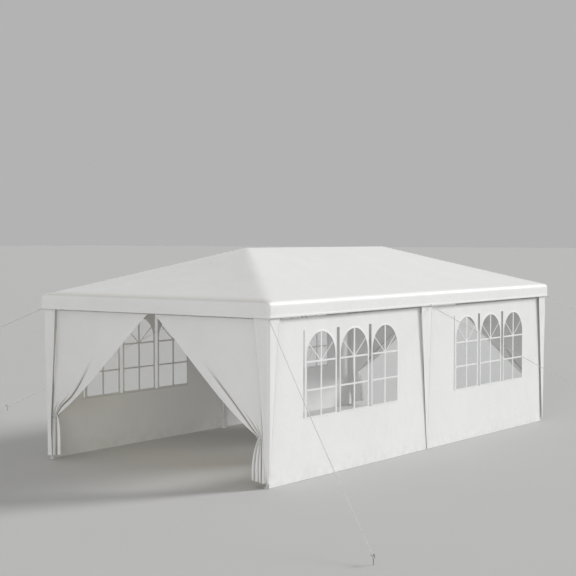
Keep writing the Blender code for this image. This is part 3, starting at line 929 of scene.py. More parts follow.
@dataclass
class WindowWall(Assembly):
    """One bay of wall with three arched windows, its film, its bars and its hems.

    The edges are distances across of the wall's four corners, by the half of its side: at the foot next
    to the middle leg and at the end, then at the head at the end and next to the middle leg.
    """

    side: Side
    half: int
    seed: float
    panes: WindowSizes = WindowSizes()
    edges = {
        -1: (0.014, TENT.bay + 0.03, TENT.bay - 0.085, 0.152),
        1: (0.002, TENT.bay - 0.04, TENT.bay - 0.149, 0.03),
    }
    shifts = {-1: -0.025, 1: 0.05}
    cell: float = 0.045
    fold_heights: tuple[float, float, float] = (0.0036, 0.0016, 0.0028)
    cloth_thickness: float = 0.0012
    hem_foot: float = 0.003
    top: float = 1.646
    hem_width: float = 0.026

    @property
    def word(self) -> str:
        """The wall's place in node names."""
        return f"{self.side.word}_{'left' if self.half * self.side.value > 0 else 'right'}"

    @property
    def middle(self) -> float:
        """Distance across of the middle window."""
        return self.half * TENT.bay / 2 + self.shifts[self.half]

    @property
    def corners(self) -> Array:
        """The wall's outline, counter-clockwise as seen from outside."""
        heights = (self.hem_foot, self.hem_foot, self.top, self.top)
        return points_of(self.half * np.array(self.edges[self.half]), heights)[:: self.half]

    def border(self, up: Array, foot: int, head: int) -> Array:
        """Distance across of one upright edge of the wall, by the numbers of its corners."""
        ends = [self.edges[self.half][foot], self.edges[self.half][head]]
        return self.half * np.interp(up, [self.hem_foot, self.top], ends)

    def relief(self, across: Array, up: Array) -> Array:
        """How far the hanging cloth stands out from its plane."""
        start, end = self.border(up, 0, 3), self.half * (TENT.bay - 0.05)
        calm = np.sin(math.pi * np.clip((across - start) / (end - start), 0, 1)) ** 0.7
        soft_height, upright_height, crease_height = self.fold_heights
        soft = soft_height * ripples(across, up, (0.55, 1.3), self.seed)
        upright = upright_height * ripples(across, up, (0.17, 0.8), self.seed + 3)
        slanted = np.abs(ripples(across - 0.8 * up, across * 0.3 + up, (0.3, 0.75), self.seed + 5))
        under_windows = smooth_step(0.66 - up, 0.0, 0.12)
        creases = crease_height * np.clip(0.16 - slanted, 0, None) / 0.16 * under_windows
        return calm * (smooth_step(up, 0.0, 0.2) * (soft + upright + creases) + 0.0012)

    def set_in_place(self, drawn: Array) -> Array:
        """Stands drawn points (across, up, depth outwards) up in the tent."""
        across, up, depth = drawn.T
        away = TENT.wall_inner + depth + self.relief(across, up)
        return points_of(-self.side.value * across, self.side.value * away, up)

    def sheet_piece(self, kind: str, drawn: Array, faces: Sequence[Face], finish: Material) -> Piece:
        """A piece of the wall from drawn points, with its cloth coordinates."""
        return new_piece(f"{kind}_{self.word}", self.set_in_place(drawn), faces, finish, drawn[:, :2])

    def banded(self, kind: str, bands: Sequence[Sequence[Array]]) -> Piece:
        """Closed bands on the wall.

        Args:
            kind: What they are, for the piece's name.
            bands: Bands, each with the four drawn rows of its section.

        Returns:
            The piece, with its faces outwards.
        """
        faces: list[Face] = []
        start = 0
        for rows in bands:
            around = grid_faces(4, len(rows[0]), tube=True)
            faces += [tuple(index + start for index in face) for face in around]
            start += 4 * len(rows[0])
        drawn = np.concatenate([row for rows in bands for row in rows])
        piece = self.sheet_piece(kind, drawn, faces, self.finishes.cloth)
        piece.data.set_sharp_from_angle(angle=math.radians(50))
        weld(piece.data)
        return piece

    def arch(self, number: int, grow: float = 0.0) -> Array:
        """A window's outline, grown on every side, with points about every 4 cm."""
        centre = self.middle + number * self.panes.pitch
        radius = self.panes.width / 2 + grow
        spring, sill = self.panes.spring, self.panes.sill - grow
        turns = np.linspace(0, math.pi, 29)
        along = np.linspace(centre - radius, centre + radius, 14)[1:]
        return np.concatenate([
            points_of(centre + radius * np.cos(turns), spring + radius * np.sin(turns)),
            points_of(centre - radius, np.linspace(spring, sill, 14)[1:]),
            points_of(along, sill),
            points_of(centre + radius, np.linspace(sill, spring, 14)[1:-1]),
        ])

    def slit_box(self, number: int, grow: float = 0.0) -> tuple[float, float, float, float]:
        """Left, right, bottom and top of a slit, which lies towards the left door end of its window."""
        way = self.side.value
        centre = self.middle + (number + way / 2) * self.panes.pitch
        half = (self.panes.outer_slit if number == way else self.panes.slit) / 2
        low, high = self.panes.slit_sill - grow, self.panes.slit_top + grow
        return centre - half - grow, centre + half + grow, low, high

    def slit(self, number: int) -> Array:
        """A slit's outline, with points about every 4 cm."""
        left, right, bottom, top = self.slit_box(number)
        rise = np.linspace(bottom, top, 23)
        middle = (left + right) / 2
        return np.concatenate(
            [points_of(right, rise), [[middle, top]], points_of(left, rise[::-1]), [[middle, bottom]]]
        )

    def is_open(self, spots: Array, grow: float = 0.0) -> Array:
        """Whether points lie in a window or a slit."""
        panes, (across, up) = self.panes, spots.T
        hit = np.zeros(len(spots), bool)
        for number in (-1, 0, 1):
            off = np.abs(across - self.middle - number * panes.pitch)
            inside = (off < panes.width / 2 + grow) & (up > panes.sill - grow)
            below = (up < panes.spring) | (np.hypot(off, up - panes.spring) < panes.width / 2 + grow)
            left, right, bottom, top = self.slit_box(number, grow)
            hit |= inside & below | (across > left) & (across < right) & (up > bottom) & (up < top)
        return hit

    def outline(self) -> Array:
        """The wall's outline with points about every 4 cm."""
        sides = []
        for start, end in zip(self.corners, np.roll(self.corners, -1, axis=0)):
            count = max(2, round(float(np.linalg.norm(end - start)) / 0.04))
            sides.append(start + (end - start) * np.linspace(0, 1, count, endpoint=False)[:, None])
        return np.concatenate(sides)

    def build_sheet(self) -> Piece:
        """The wall's cloth, with its windows and slits cut out."""
        numbers = (-1, 0, 1)
        loops = [self.outline(), *map(self.arch, numbers), *map(self.slit, numbers)]
        pairs: list[tuple[int, int]] = []
        for loop in loops:
            pairs += chain(len(loop), True, len(pairs))
        edges = np.concatenate(loops)
        low, high = edges.min(axis=0), edges.max(axis=0)
        grid_x, grid_z = np.meshgrid(
            np.arange(low[0] + 0.02, high[0], self.cell), np.arange(low[1] + 0.02, high[1], self.cell * 0.87)
        )
        grid_x[::2] += self.cell / 2
        inner = points_of(grid_x.ravel(), grid_z.ravel())
        inner = inner[~self.is_open(inner, 0.012)]
        gap = np.min(np.linalg.norm(inner[:, None] - edges[None], axis=-1), axis=1)
        left, right = np.sort([self.border(inner[:, 1], 0, 3), self.border(inner[:, 1], 1, 2)], axis=0)
        kept = (gap > 0.018) & (inner[:, 0] > left + 0.015) & (inner[:, 0] < right - 0.015)
        everything = [Vector(point) for point in np.concatenate([edges, inner[kept]])]
        flat, _, faces, _, _, _ = delaunay_2d_cdt(everything, pairs, [], 0, 1e-6)
        flat = np.array([tuple(point) for point in flat])
        centres = np.array([flat[list(face)].mean(axis=0) for face in faces])
        solid = ~self.is_open(centres) & (self.areas(flat, faces) > 0.000001)
        triangles = [face for face, keep in zip(faces, solid) if keep]
        self.cut_area = float(self.areas(flat, triangles).sum())
        drawn = np.column_stack([flat, np.full(len(flat), TENT.wall_thickness)])
        piece = self.sheet_piece("wall_cloth", drawn, triangles, self.finishes.cloth)
        thicken(piece, self.cloth_thickness)
        return piece

    @staticmethod
    def areas(flat: Array, triangles: Sequence[Sequence[int]]) -> Array:
        """Areas of flat triangles."""
        first, second, third = (flat[[face[corner] for face in triangles]] for corner in range(3))
        edge, other = second - first, third - first
        return np.abs(edge[:, 0] * other[:, 1] - edge[:, 1] * other[:, 0]) / 2

    def build_film(self) -> Piece:
        """The clear sheet behind the windows."""
        way, panes, margin = self.side.value, self.panes, self.panes.film_margin
        slit_edge = self.middle + way * (panes.pitch * 1.5 + panes.outer_slit / 2 + margin)
        pane_edge = self.middle - way * (panes.pitch + panes.width / 2 + margin)
        across = np.linspace(*sorted((slit_edge, pane_edge)), 42)
        up = np.linspace(panes.slit_sill - margin, panes.slit_top + margin, 21)
        drawn = points_of(*np.meshgrid(across, up), -0.0003).reshape(-1, 3)
        piece = self.sheet_piece("film", drawn, grid_faces(len(up), len(across)), self.finishes.film)
        thicken(piece, panes.film_thickness)
        return piece

    def build_bars(self) -> Piece:
        """White bars on the film of each window, drawn once and repeated."""
        panes, lap = self.panes, self.panes.bar_lap
        first = self.middle - panes.pitch
        low, high = panes.rails
        half = panes.width / 2 + lap
        ray_x, ray_z = panes.ray_end
        upright = [((first, panes.sill - lap), (first, panes.crown + lap))]
        level = [((first - half, up), (first + half, up)) for up in (low, high)]
        rays = [((first, high), (first + way * (ray_x + lap), ray_z + 0.005)) for way in (-1, 1)]
        sets = ((panes.upright, 0.0013, upright), (panes.rail, 0.0011, level), (panes.ray, 0.0009, rays))
        shared = {"Step": 0.03, "Count": 3, "Pitch": (panes.pitch, 0.0, 0.0), "Finish": self.finishes.cloth}
        made = []
        for width, depth, lines in sets:
            spots = [(*point, depth / 2 + 0.0003) for line in lines for point in line]
            values = {"Width": width, "Thickness": depth, **shared}
            pairs = [(2 * number, 2 * number + 1) for number in range(len(lines))]
            made.append(self.trees.bars.grow("bars", spots, pairs, values, self.set_in_place))
        return join_pieces(f"window_bars_{self.word}", made)

    def build_welds(self) -> Piece:
        """Raised weld bands round the windows."""
        wide, skin = self.panes.weld, TENT.wall_thickness
        rise = skin + self.panes.weld_rise
        section = ((0.0005, 0.0008), (0.0005, rise), (wide - 0.002, rise), (wide, skin - 0.0005))
        bands = []
        for number in (-1, 0, 1):
            rows = [(self.arch(number, grow), depth) for grow, depth in section]
            bands.append([np.column_stack([row, np.full(len(row), depth)]) for row, depth in rows])
        return self.banded("window_welds", bands)

    def inset(self, amount: float) -> Array:
        """The wall's corners, moved inwards from both edges."""
        ahead = np.roll(self.corners, -1, axis=0) - self.corners
        ahead /= np.linalg.norm(ahead, axis=1, keepdims=True)
        after = points_of(-ahead[:, 1], ahead[:, 0])
        before = np.roll(after, 1, axis=0)
        return self.corners + amount * (before + after) / (1 + (before * after).sum(axis=1, keepdims=True))

    def build_hems(self) -> Piece:
        """Folded hems along the four edges, mitred at the corners."""
        outer, inner = self.inset(0.0007), self.inset(self.hem_width)
        low, high = TENT.wall_thickness - 0.0006, TENT.wall_thickness + 0.0009
        lines = []
        for corners in (outer, inner):
            line = []
            for number in range(4):
                after = (number + 1) % 4
                count = round(float(np.linalg.norm(outer[after] - outer[number])) / 0.035)
                share = np.linspace(0, 1, count, endpoint=False)[:, None]
                line.append(corners[number] + (corners[after] - corners[number]) * share)
            lines.append(np.concatenate(line))
        section = ((lines[0], low), (lines[0], high), (lines[1], high), (lines[1], low))
        rows = [np.column_stack([line, np.full(len(line), depth)]) for line, depth in section]
        return self.banded("wall_hems", [rows])

    def build_stitches(self) -> Piece:
        """Stitches along the hems."""
        spots = np.column_stack([self.inset(self.hem_width - 0.003), np.full(4, TENT.wall_thickness + 0.001)])
        values = {"Step": 0.012, "Length": 0.0075, "Thread": 0.001, "Finish": self.finishes.thread}
        name = f"wall_stitches_{self.word}"
        return self.trees.stitches.grow(name, spots, chain(4, True), values, self.set_in_place)

    def dress(self) -> None:
        cloth, film = self.build_sheet(), self.build_film()
        bars, welds = self.build_bars(), self.build_welds()
        hems, stitches = self.build_hems(), self.build_stitches()
        publish(cloth, Slot.CLOTH, f"wall_{self.word}")
        publish(film, Slot.FILM, f"window_film_{self.word}")
        for piece in (bars, welds, hems, stitches):
            publish(piece, Slot.CLOTH)
        rail = f"eave_rail_{self.word}"


# Door curtains


@dataclass(frozen=True)
class Drape:
    """How a curtain is drawn back and falls, as the near one in the photograph.

    There are six valleys. Spots are their places from the leg at 0 to the free edge at 1, and necks and
    feet are their depths at the tie and at the hem. Settle is the share that the lower half flattens them
    by. The main fold has the share of the fall where it begins and is full, and how far it drifts. Sunk is
    the share of its valleys' depth by which the fourth pleat lies back, and also the strength of the painted
    shade on that pleat.
    """

    head_retreat: float = 0.115
    meeting: float = 0.042
    edge_sag: float = 0.06
    edge_bow: float = 0.0
    foot_middle: float = 1.4
    foot_half: float = 0.088
    upper_spots: tuple[float, ...] = (0.0, 0.2, 0.4, 0.61, 0.775, 1.0)
    spots: tuple[float, ...] = (0.0, 0.085, 0.3, 0.506, 0.824, 1.0)
    necks: tuple[float, ...] = (0.0025, 0.008, 0.016, 0.018, 0.026, 0.005)
    feet: tuple[float, ...] = (0.0025, 0.008, 0.024, 0.056, 0.06, 0.012)
    settle: tuple[float, ...] = (0.0, 0.0, 0.2, 0.15, 0.45, 0.0)
    main_fold: tuple[float, float, float] = (0.36, 0.62, 0.05)
    sunk: float = 0.0
    tie_reach: float = 0.75
    foot_reach: float = 0.75
    flare: float = 0.8


NEAR_DRAPE = Drape()
FAR_DRAPE = Drape(
    head_retreat=0.1,
    meeting=0.055,
    edge_sag=0.043,
    edge_bow=0.02,
    foot_middle=1.4025,
    foot_half=0.0655,
    spots=(0.0, 0.05, 0.12, 0.39, 0.508, 1.0),
    feet=(0.0025, 0.008, 0.03, 0.07, 0.07, 0.012),
    settle=(0.0, 0.0, 0.9, 0.15, 0.15, 0.0),
    main_fold=(0.4, 0.74, -0.09),
    sunk=0.6,
    tie_reach=0.5,
    foot_reach=0.08,
    flare=0.35,
)


@dataclass
class Curtain(Assembly):
    """One half of a door, drawn back to its leg and hanging in pleats below the tie.

    A valley whose half width is the loose slot's share of its pleat is a plain wave. Narrower ones get
    steeper sides over the slot range, up to the tightest share.
    """

    end: End
    side: Side
    seed: float
    drape: Drape
    head: float = 1.652
    tie_height: float = 0.49
    neck_middle: float = 1.415
    neck_half: float = 0.023
    hem: float = 0.045
    stack: float = 0.34
    edge_turn: float = 0.62
    loose_slot: float = 0.23
    slot_range: float = 0.158
    tightest: float = 0.98
    pleat_power: float = 1.2
    thickness: float = 0.0008
    ribbon_thickness: float = 0.0014
    strap_radius: float = 0.0195

    @property
    def word(self) -> str:
        """The curtain's end and side as in node names."""
        return f"{self.end.word}_{self.side.word}"

    def set_in_place(self, drawn: Array) -> Array:
        """Stands drawn points (distance from the middle, up, depth outwards) up in the tent."""
        across, up, depth = drawn.T[:3]
        return points_of(self.end.value * (TENT.curtain_inner + depth), self.side.value * across, up)

    def section(
        self,
        share: Array,
        spots: Array,
        folds: Array,
        back: Sequence[Any],
        wide: Array,
        slot: Array,
        sunk: Array,
    ) -> tuple[Array, Array, Array]:
        """Level rows of the pleated cloth, with its first part folded behind the rest.

        Args:
            share: 0 at the cloth's leg side to 1 at the free edge.
            spots: Places of the valleys in each row, 0 at the leg to 1 at the free edge.
            folds: Depths of the valleys in each row.
            back: Start, reach, layer distance and depth of the turn of the part that lies behind.
            wide: Each row's width.
            slot: Half the width of a valley.
            sunk: Share of the valleys' depth by which the fourth pleat lies sunk, and the painted shade it
                gets.

        Returns:
            Shares across, 0 at the leg to 1 at the free edge, depths, and the painted valley shade of each
            point, strongest down in large valleys and on the sunk fourth pleat.
        """
        begin, reach, layer, bridge = back
        count = spots.shape[1] - 1
        behind = np.clip(share / self.stack, 0, 1)
        front = np.clip((share - self.stack) / (1 - self.stack), 0, 1) * count
        number = np.minimum(front.astype(int), count - 1)
        last = number == count - 1
        turn = (front - number) * np.where(last, self.edge_turn, 1.0)
        low, high = (np.take_along_axis(spots, number + step, axis=1) for step in (0, 1))
        before, after = (np.take_along_axis(folds, number + step, axis=1) for step in (0, 1))
        slot_share = slot / np.maximum((high - low) * wide, 0.0001)
        tight = np.clip((self.loose_slot - slot_share) / self.slot_range, 0, self.tightest) / math.tau
        full = self.edge_turn - tight * math.sin(math.tau * self.edge_turn)
        along = (turn - tight * np.sin(math.tau * turn)) / np.where(last, full, 1.0)
        ridge = np.where(number == 3, sunk * np.minimum(before, after), 0.0)
        peak = np.where(turn < 0.5, before, after)
        inward = ((1 + np.cos(math.tau * turn)) / 2) ** self.pleat_power
        swing = ridge + (peak - ridge) * inward
        ramp = np.clip((1 - behind) / 0.1, 0, 1)
        layers = np.clip(behind / 0.9, 0, 1)
        deepest = folds.max(axis=1, keepdims=True) + layer * (1 + 4 * (1 - layers))
        hidden = share < self.stack
        turned = begin * ramp + reach * (1 - np.cos(2 * math.tau * layers)) / 2
        fan = np.where(hidden, turned, low + (high - low) * along)
        # Painted shade, strongest down in large valleys and on the sunk fourth pleat, handed on as an
        # attribute.
        shadow = smooth_step(inward, 0.25, 0.8) * np.clip(peak / 0.022, 0, 1)
        valley_shade = np.maximum(shadow, np.where(number == 3, sunk, 0.0))
        return fan, -np.where(hidden, bridge + ramp * deepest, swing), np.where(hidden, 0.0, valley_shade)

    def upper(self, share: Array, drop: Array) -> Array:
        """The drawn part from the head to the tie.

        Args:
            share: 0 at the cloth's leg side to 1 at the free edge.
            drop: 0 at the head to 1 at the tie.

        Returns:
            Drawn points, with the painted valley shade of each.
        """
        drape, fall = self.drape, drop[:, :1]
        near_tie = smooth_step(fall, 0.78, 1.0)
        begin, full, drift = drape.main_fold
        spots = np.array(drape.upper_spots) * (1 - near_tie) + np.array(drape.spots) * near_tie
        spots[:, 4:5] += drift * (1 - smooth_step(fall, 0.35, 0.8))
        starts = ((0.0, 0.5), (0.84, 1.0), (0.82, 0.97), (0.72, 0.92), (begin, full), (0.2, 1.0))
        folds = [size * smooth_step(fall, low, high) for (low, high), size in zip(starts, drape.necks)]
        reach = np.minimum(drape.tie_reach, 0.25 * fall / np.maximum(1 - fall, 0.01))
        open_wide = TENT.half_span - drape.head_retreat - drape.meeting
        wide = open_wide * (1 - fall) + 2 * self.neck_half * fall
        back = (0.02 + 0.13 * near_tie, reach, 0.0045 - 0.002 * near_tie, 0.003)
        slot = 0.0085 - 0.003 * near_tie
        valleys = np.concatenate(folds, axis=1)
        fan, depth, valley_shade = self.section(share, spots, valleys, back, wide, slot, 0 * fall)
        head = (TENT.half_span - drape.head_retreat) * (1 - fan) + drape.meeting * fan
        neck = self.neck_middle + self.neck_half * (1 - 2 * fan)
        bow = drape.edge_bow * np.sin(math.pi * drop**5) * np.clip(1 - fan, 0, 1) ** 2
        across = head + (neck - head) * drop + bow
        up = self.head + (self.tie_height - self.head) * drop
        up = up - drape.edge_sag * np.sin(math.pi * drop**1.7) * np.clip(fan, 0, 1) ** 2.2
        soft = 0.007 * ripples(fan * 1.6, drop, (0.42, 0.8), self.seed)
        creases = 0.0028 * ripples(across - 0.5 * up, across + up, (0.13, 0.4), self.seed + 2)
        return points_of(across, up, 0.006 + depth + np.sin(math.pi * drop) ** 0.8 * (soft + creases), valley_shade)

    def lower(self, share: Array, fall: Array) -> Array:
        """The pleated bundle from the tie to the hem.

        Args:
            share: 0 at the cloth's leg side to 1 at the free edge.
            fall: 0 at the tie to 1 at the hem.

        Returns:
            Drawn points, with the painted valley shade of each.
        """
        drape = self.drape
        spread = np.sin(math.pi / 2 * np.clip(fall[:, :1] / 0.8, 0, 1)) ** drape.flare
        spots = np.broadcast_to(np.array(drape.spots), (len(fall), len(drape.spots)))
        necks = np.array(drape.necks)
        settle = smooth_step(fall[:, :1], 0.5, 1.0) * np.array(drape.settle)
        folds = (necks + (np.array(drape.feet) - necks) * spread) * (1 - settle)
        reach = drape.tie_reach + (drape.foot_reach - drape.tie_reach) * spread
        begin = 0.15 + (0.05 if drape.sunk == 0 else -0.05) * spread
        back = (begin, reach, 0.0025 + 0.0015 * spread, 0.003 + 0.005 * spread)
        half = self.neck_half + (drape.foot_half - self.neck_half) * spread
        slot, sunk = 0.0055 + 0 * spread, drape.sunk * spread
        fan, depth, valley_shade = self.section(share, spots, folds, back, 2 * half, slot, sunk)
        inside = np.clip(fan, 0, 1)
        lean = self.neck_middle + (drape.foot_middle - self.neck_middle) * spread
        sway = 0.03 * ripples(fan * 2, fall, (0.7, 0.8), self.seed + 6) * spread * np.sin(math.pi * inside)
        across = lean + half * (1 - 2 * (fan + sway))
        bulge = 0.016 * np.sin(math.pi * inside) + 0.005 * ripples(fan * 2, fall, (0.5, 0.7), self.seed + 7)
        depth = depth + 0.006 + spread * (0.005 + bulge * np.clip(fan * 4, 0, 1))
        uneven = 0.006 * ripples(fan * 3, fan, (0.6, 0.6), self.seed + 9)
        ends = self.hem + 0.004 + 0.014 * smooth_step(fan, 0.35, 0.75) + uneven
        return points_of(across, self.tie_height + (ends - self.tie_height) * fall, depth, valley_shade)

    def build(self) -> Piece:
        """The curtain's cloth in one sheet from head to hem, with its folded edge and hem."""
        share = np.concatenate([np.linspace(0, 0.984, 176), [0.986, 0.987, 0.9885, 0.991, 0.9955, 1.0]])
        drop = np.linspace(0, 1, 64) ** 0.85
        fall = np.concatenate([np.linspace(0, 0.94, 34)[1:], [0.945, 0.948, 0.975, 0.997, 1.0]])
        drawn = np.concatenate([self.upper(*np.meshgrid(share, drop)), self.lower(*np.meshgrid(share, fall))])
        drawn[..., 2] += 0.0012 * smooth_step(share, 0.986, 0.9885)
        drawn[-4:-1, :, 2] += 0.0012
        runs = np.linalg.norm(np.diff(drawn[..., :3], axis=0), axis=-1)
        down = np.concatenate([np.zeros((1, len(share))), np.cumsum(runs, axis=0)])
        wide = TENT.half_span - self.drape.head_retreat - self.drape.meeting
        faces = grid_faces(*down.shape)
        if self.end.value * self.side.value < 0:
            faces = [face[::-1] for face in faces]
        placed = self.set_in_place(drawn.reshape(-1, 4))
        flat = points_of(share * wide, -down)
        piece = new_piece(f"curtain_{self.word}", placed, faces, self.finishes.cloth, flat)
        # The fold attribute carries the painted valley shade that the cloth finish mixes in.
        valley_shade = piece.data.attributes.new("fold", "FLOAT", "POINT")
        valley_shade.data.foreach_set("value", drawn[..., 3].astype(np.float32).ravel())
        thicken(piece, self.thickness)
        return piece

    def ribbon(self, path: Array, width: float, level: bool = True) -> Piece:
        """A flat ribbon along a path.

        Args:
            path: Points as distance from the middle, depth and height.
            width: The ribbon's width.
            level: Whether its width stands upright along the path.

        Returns:
            The ribbon.
        """
        wide, high = (self.ribbon_thickness, width) if level else (width, self.ribbon_thickness)
        values = {"Width": wide, "Thickness": high, "Step": 0.004, "Count": 1, "Finish": self.finishes.cloth}

        def swap(spots: Array) -> Array:
            """Turns (across, depth, up) into a drawn point and sets it in place."""
            return self.set_in_place(spots[:, [0, 2, 1]])

        return self.trees.bars.grow("ribbon", path, chain(len(path)), values, swap)

    def build_tie(self) -> Piece:
        """The ribbon round the neck and the leg, with its bow."""
        neck, height, radius = self.neck_middle, self.tie_height, self.strap_radius
        turns = np.linspace(0, math.tau, 40)
        ring = points_of(
            neck + (self.neck_half + 0.006) * np.cos(turns),
            0.004 + 0.014 * np.sin(turns),
            height + 0.002 * np.sin(2 * turns),
        )
        turns = np.linspace(-0.6 * math.pi, 0.62 * math.pi, 24)
        leg_depth = TENT.bay - TENT.curtain_inner
        across, depth = TENT.half_span + radius * np.cos(turns), leg_depth + radius * np.sin(turns)
        leg = points_of(across, depth, height - 0.002)
        begin, end = [neck + 0.02, 0.017, height - 0.001], [neck + 0.026, -0.006, height - 0.001]
        made = [self.ribbon(ring, 0.014), self.ribbon(np.concatenate([[begin], leg[::-1], [end]]), 0.012)]
        knot = np.array([neck - 0.004, 0.0225, height])
        turns, down = np.linspace(0, math.tau, 30), np.linspace(0, 1, 14)
        swell, half_sine = (1 - np.cos(turns)) / 2, np.sin(turns / 2)
        for way, reach, rise in ((-1, 0.034, 0.012), (1, 0.03, 0.006)):
            curl = rise * swell + 0.009 * np.sin(turns) * half_sine
            loop = points_of(way * reach * swell, 0.004 * half_sine, curl)
            made.append(self.ribbon(knot + loop, 0.011, level=False))
            hang = 0.07 + 0.012 * way
            tail = points_of(way * (0.004 + 0.016 * down), 0.003 * np.sin(6 * down), -hang * down)
            made.append(self.ribbon(knot + tail, 0.009, level=False))
        turns = np.linspace(0, math.tau * 1.02, 22)
        lump = points_of(0.006 * np.cos(turns), 0.0, 0.007 * np.sin(turns))
        made.append(self.ribbon(knot + lump, 0.012, level=False))
        tie = join_pieces(f"curtain_tie_{self.word}", made)
        weld(tie.data)
        return tie

    def dress(self) -> None:
        cloth, tie = self.build(), self.build_tie()
        publish(cloth, Slot.CLOTH, f"door_curtain_{self.word}")
        publish(tie, Slot.CLOTH)
        rail = f"eave_rail_{self.end.word}_end"


# Leg covers


@dataclass
class LegCover(LegAssembly):
    """A cloth sleeve over a leg, wide under the valance and narrow at the foot.

    The end and open arms are heights with the widths of the door face there. The open ones belong to the
    rear left and front right covers, which are wider in all.
    """

    seed: float
    hem: float = 0.045
    middle_hem: float = 0.02
    edge: float = 0.016
    rise: float = 0.001
    thickness: float = 0.0014
    arc_steps: int = 13
    end_arms: tuple[tuple[float, ...], tuple[float, ...]] = (
        (0.045, 0.087, 0.142, 0.222, 0.3, 0.49, 0.68, 1.21, 1.664),
        (-0.034, -0.028, -0.012, 0.0, 0.012, 0.017, 0.03, 0.072, 0.12),
    )
    open_arms: tuple[tuple[float, ...], tuple[float, ...]] = (
        (0.045, 0.2, 0.315, 0.49, 0.677, 0.99, 1.664),
        (0.032, 0.03, 0.024, 0.029, 0.045, 0.07, 0.116),
    )

    @property
    def foot(self) -> float:
        """Height of the cover's lower edge."""
        return self.hem if self.column else self.middle_hem

    @property
    def top(self) -> float:
        """Height of the cover's upper edge, hidden by the valance."""
        return TENT.eave - 0.05

    def between(self, up: float, foot: float, hem: float) -> float:
        """A width at a height, from those at the cover's foot and at the valance's hem."""
        return float(np.interp(up, [self.foot, TENT.hem], [foot, hem]))

    def corner_row(self, up: float, out: float, band: Array) -> Array:
        """A level row round a corner leg.

        Args:
            up: The row's height.
            out: Distance from the leg line.
            band: Places across the sewn edge.

        Returns:
            Points as distances from the leg line.
        """
        wide = self.column * self.side.value < 0
        wall_arm = self.between(up, -0.01, 0.151 if wide else 0.12)
        door_arm = float(np.interp(up, *(self.open_arms if wide else self.end_arms)))
        arms = (wall_arm, door_arm)
        bend = min(out * 0.5, 0.6 * (out + min(arms)))
        turns = np.linspace(math.pi / 2, 0, self.arc_steps)
        faces = []
        for arm in arms:
            strip = band * min(1.0, 0.25 * (out + arm) / self.edge)
            inner = np.linspace(strip[-1] - arm, out - bend, 11)[1:-1]
            faces.append(points_of(np.concatenate([strip - arm, inner]), out))
        arc = points_of(out - bend + bend * np.cos(turns), out - bend + bend * np.sin(turns))
        return np.concatenate([faces[0], arc, faces[1][::-1, ::-1]])

    def section(self, up: float) -> tuple[Array, Array]:
        """One level row of points and the length of cloth along it.

        Args:
            up: The row's height.

        Returns:
            Points as distances from the leg line, and cloth lengths.
        """
        lower, upper = 0.045, TENT.valance_outset - 0.0043
        out = float(np.interp(up, [self.foot, TENT.hem, self.top], [lower, 0.067, upper]))
        band = np.array([0.0, 0.0012, self.edge - 0.0012, self.edge])
        if self.column:
            row = self.corner_row(up, out, band)
        else:
            left, right = self.between(up, 0.015, 0.18), self.between(up, 0.015, 0.067)
            band = band * min(1.0, 0.75 * (left + right) / 2 / self.edge)
            inner = np.linspace(band[-1] - left, right - band[-1], 19)[1:-1]
            row = points_of(np.concatenate([band - left, inner, right - band[::-1]]), out)
        length = np.concatenate([[0.0], np.cumsum(np.linalg.norm(np.diff(row, axis=0), axis=1))])
        return row, length - length.mean()

    def outwards(self, count: int) -> Array:
        """Level directions outwards of a row's points."""
        if not self.column:
            return np.tile((0.0, 1.0), (count, 1))
        turns = np.linspace(math.pi / 2, 0, self.arc_steps)
        side = np.tile((0.0, 1.0), (self.arc_steps, 1))
        return np.concatenate([side, points_of(np.cos(turns), np.sin(turns)), side[:, ::-1]])

    def build(self) -> Piece:
        """The sleeve's cloth."""
        foot, side = self.foot, self.side.value
        down = np.linspace(self.top, foot + 0.024, 46)
        heights = np.concatenate([down, [foot + 0.022, foot + 0.001, foot]])
        points, cloth = [], []
        for up in heights:
            row, length = self.section(float(up))
            count = len(row)
            calm = np.sin(math.pi * np.linspace(0, 1, count)) ** 0.5
            soft = 0.0028 * ripples(length, np.full(count, up), (0.11, 0.5), self.seed) * calm
            band = self.rise * float(up < foot + 0.023 and up > foot + 0.0005)
            edge = np.zeros(count)
            edge[[1, 2, -2, -3]] = self.rise
            lift = soft * smooth_step(TENT.hem - up, 0.0, 0.2) + np.maximum(edge, band)
            row = row + self.outwards(count) * lift[:, None]
            x = self.column * (TENT.bay + row[:, 0]) if self.column else -side * row[:, 0]
            points.append(points_of(x, side * (TENT.half_span + row[:, 1]), up))
            cloth.append(points_of(length, up))
        faces = grid_faces(len(heights), len(points[0]))
        if self.column * side <= 0:
            faces = [face[::-1] for face in faces]
        flat = np.concatenate(cloth)
        piece = new_piece(f"cover_{self.word}", np.concatenate(points), faces, self.finishes.cloth, flat)
        thicken(piece, self.thickness)
        widths = np.array([np.ptp(row[:, 0]) for row in cloth])
        self.cut = (float(widths.max()), float(self.top - foot))
        self.cut_area = float(((widths[1:] + widths[:-1]) / 2 * -np.diff(heights)).sum())
        return piece

    def dress(self) -> None:
        cloth = self.build()
        publish(cloth, Slot.CLOTH, f"leg_cover_{self.word}")
        f"leg_{self.word}"


# Tube frame


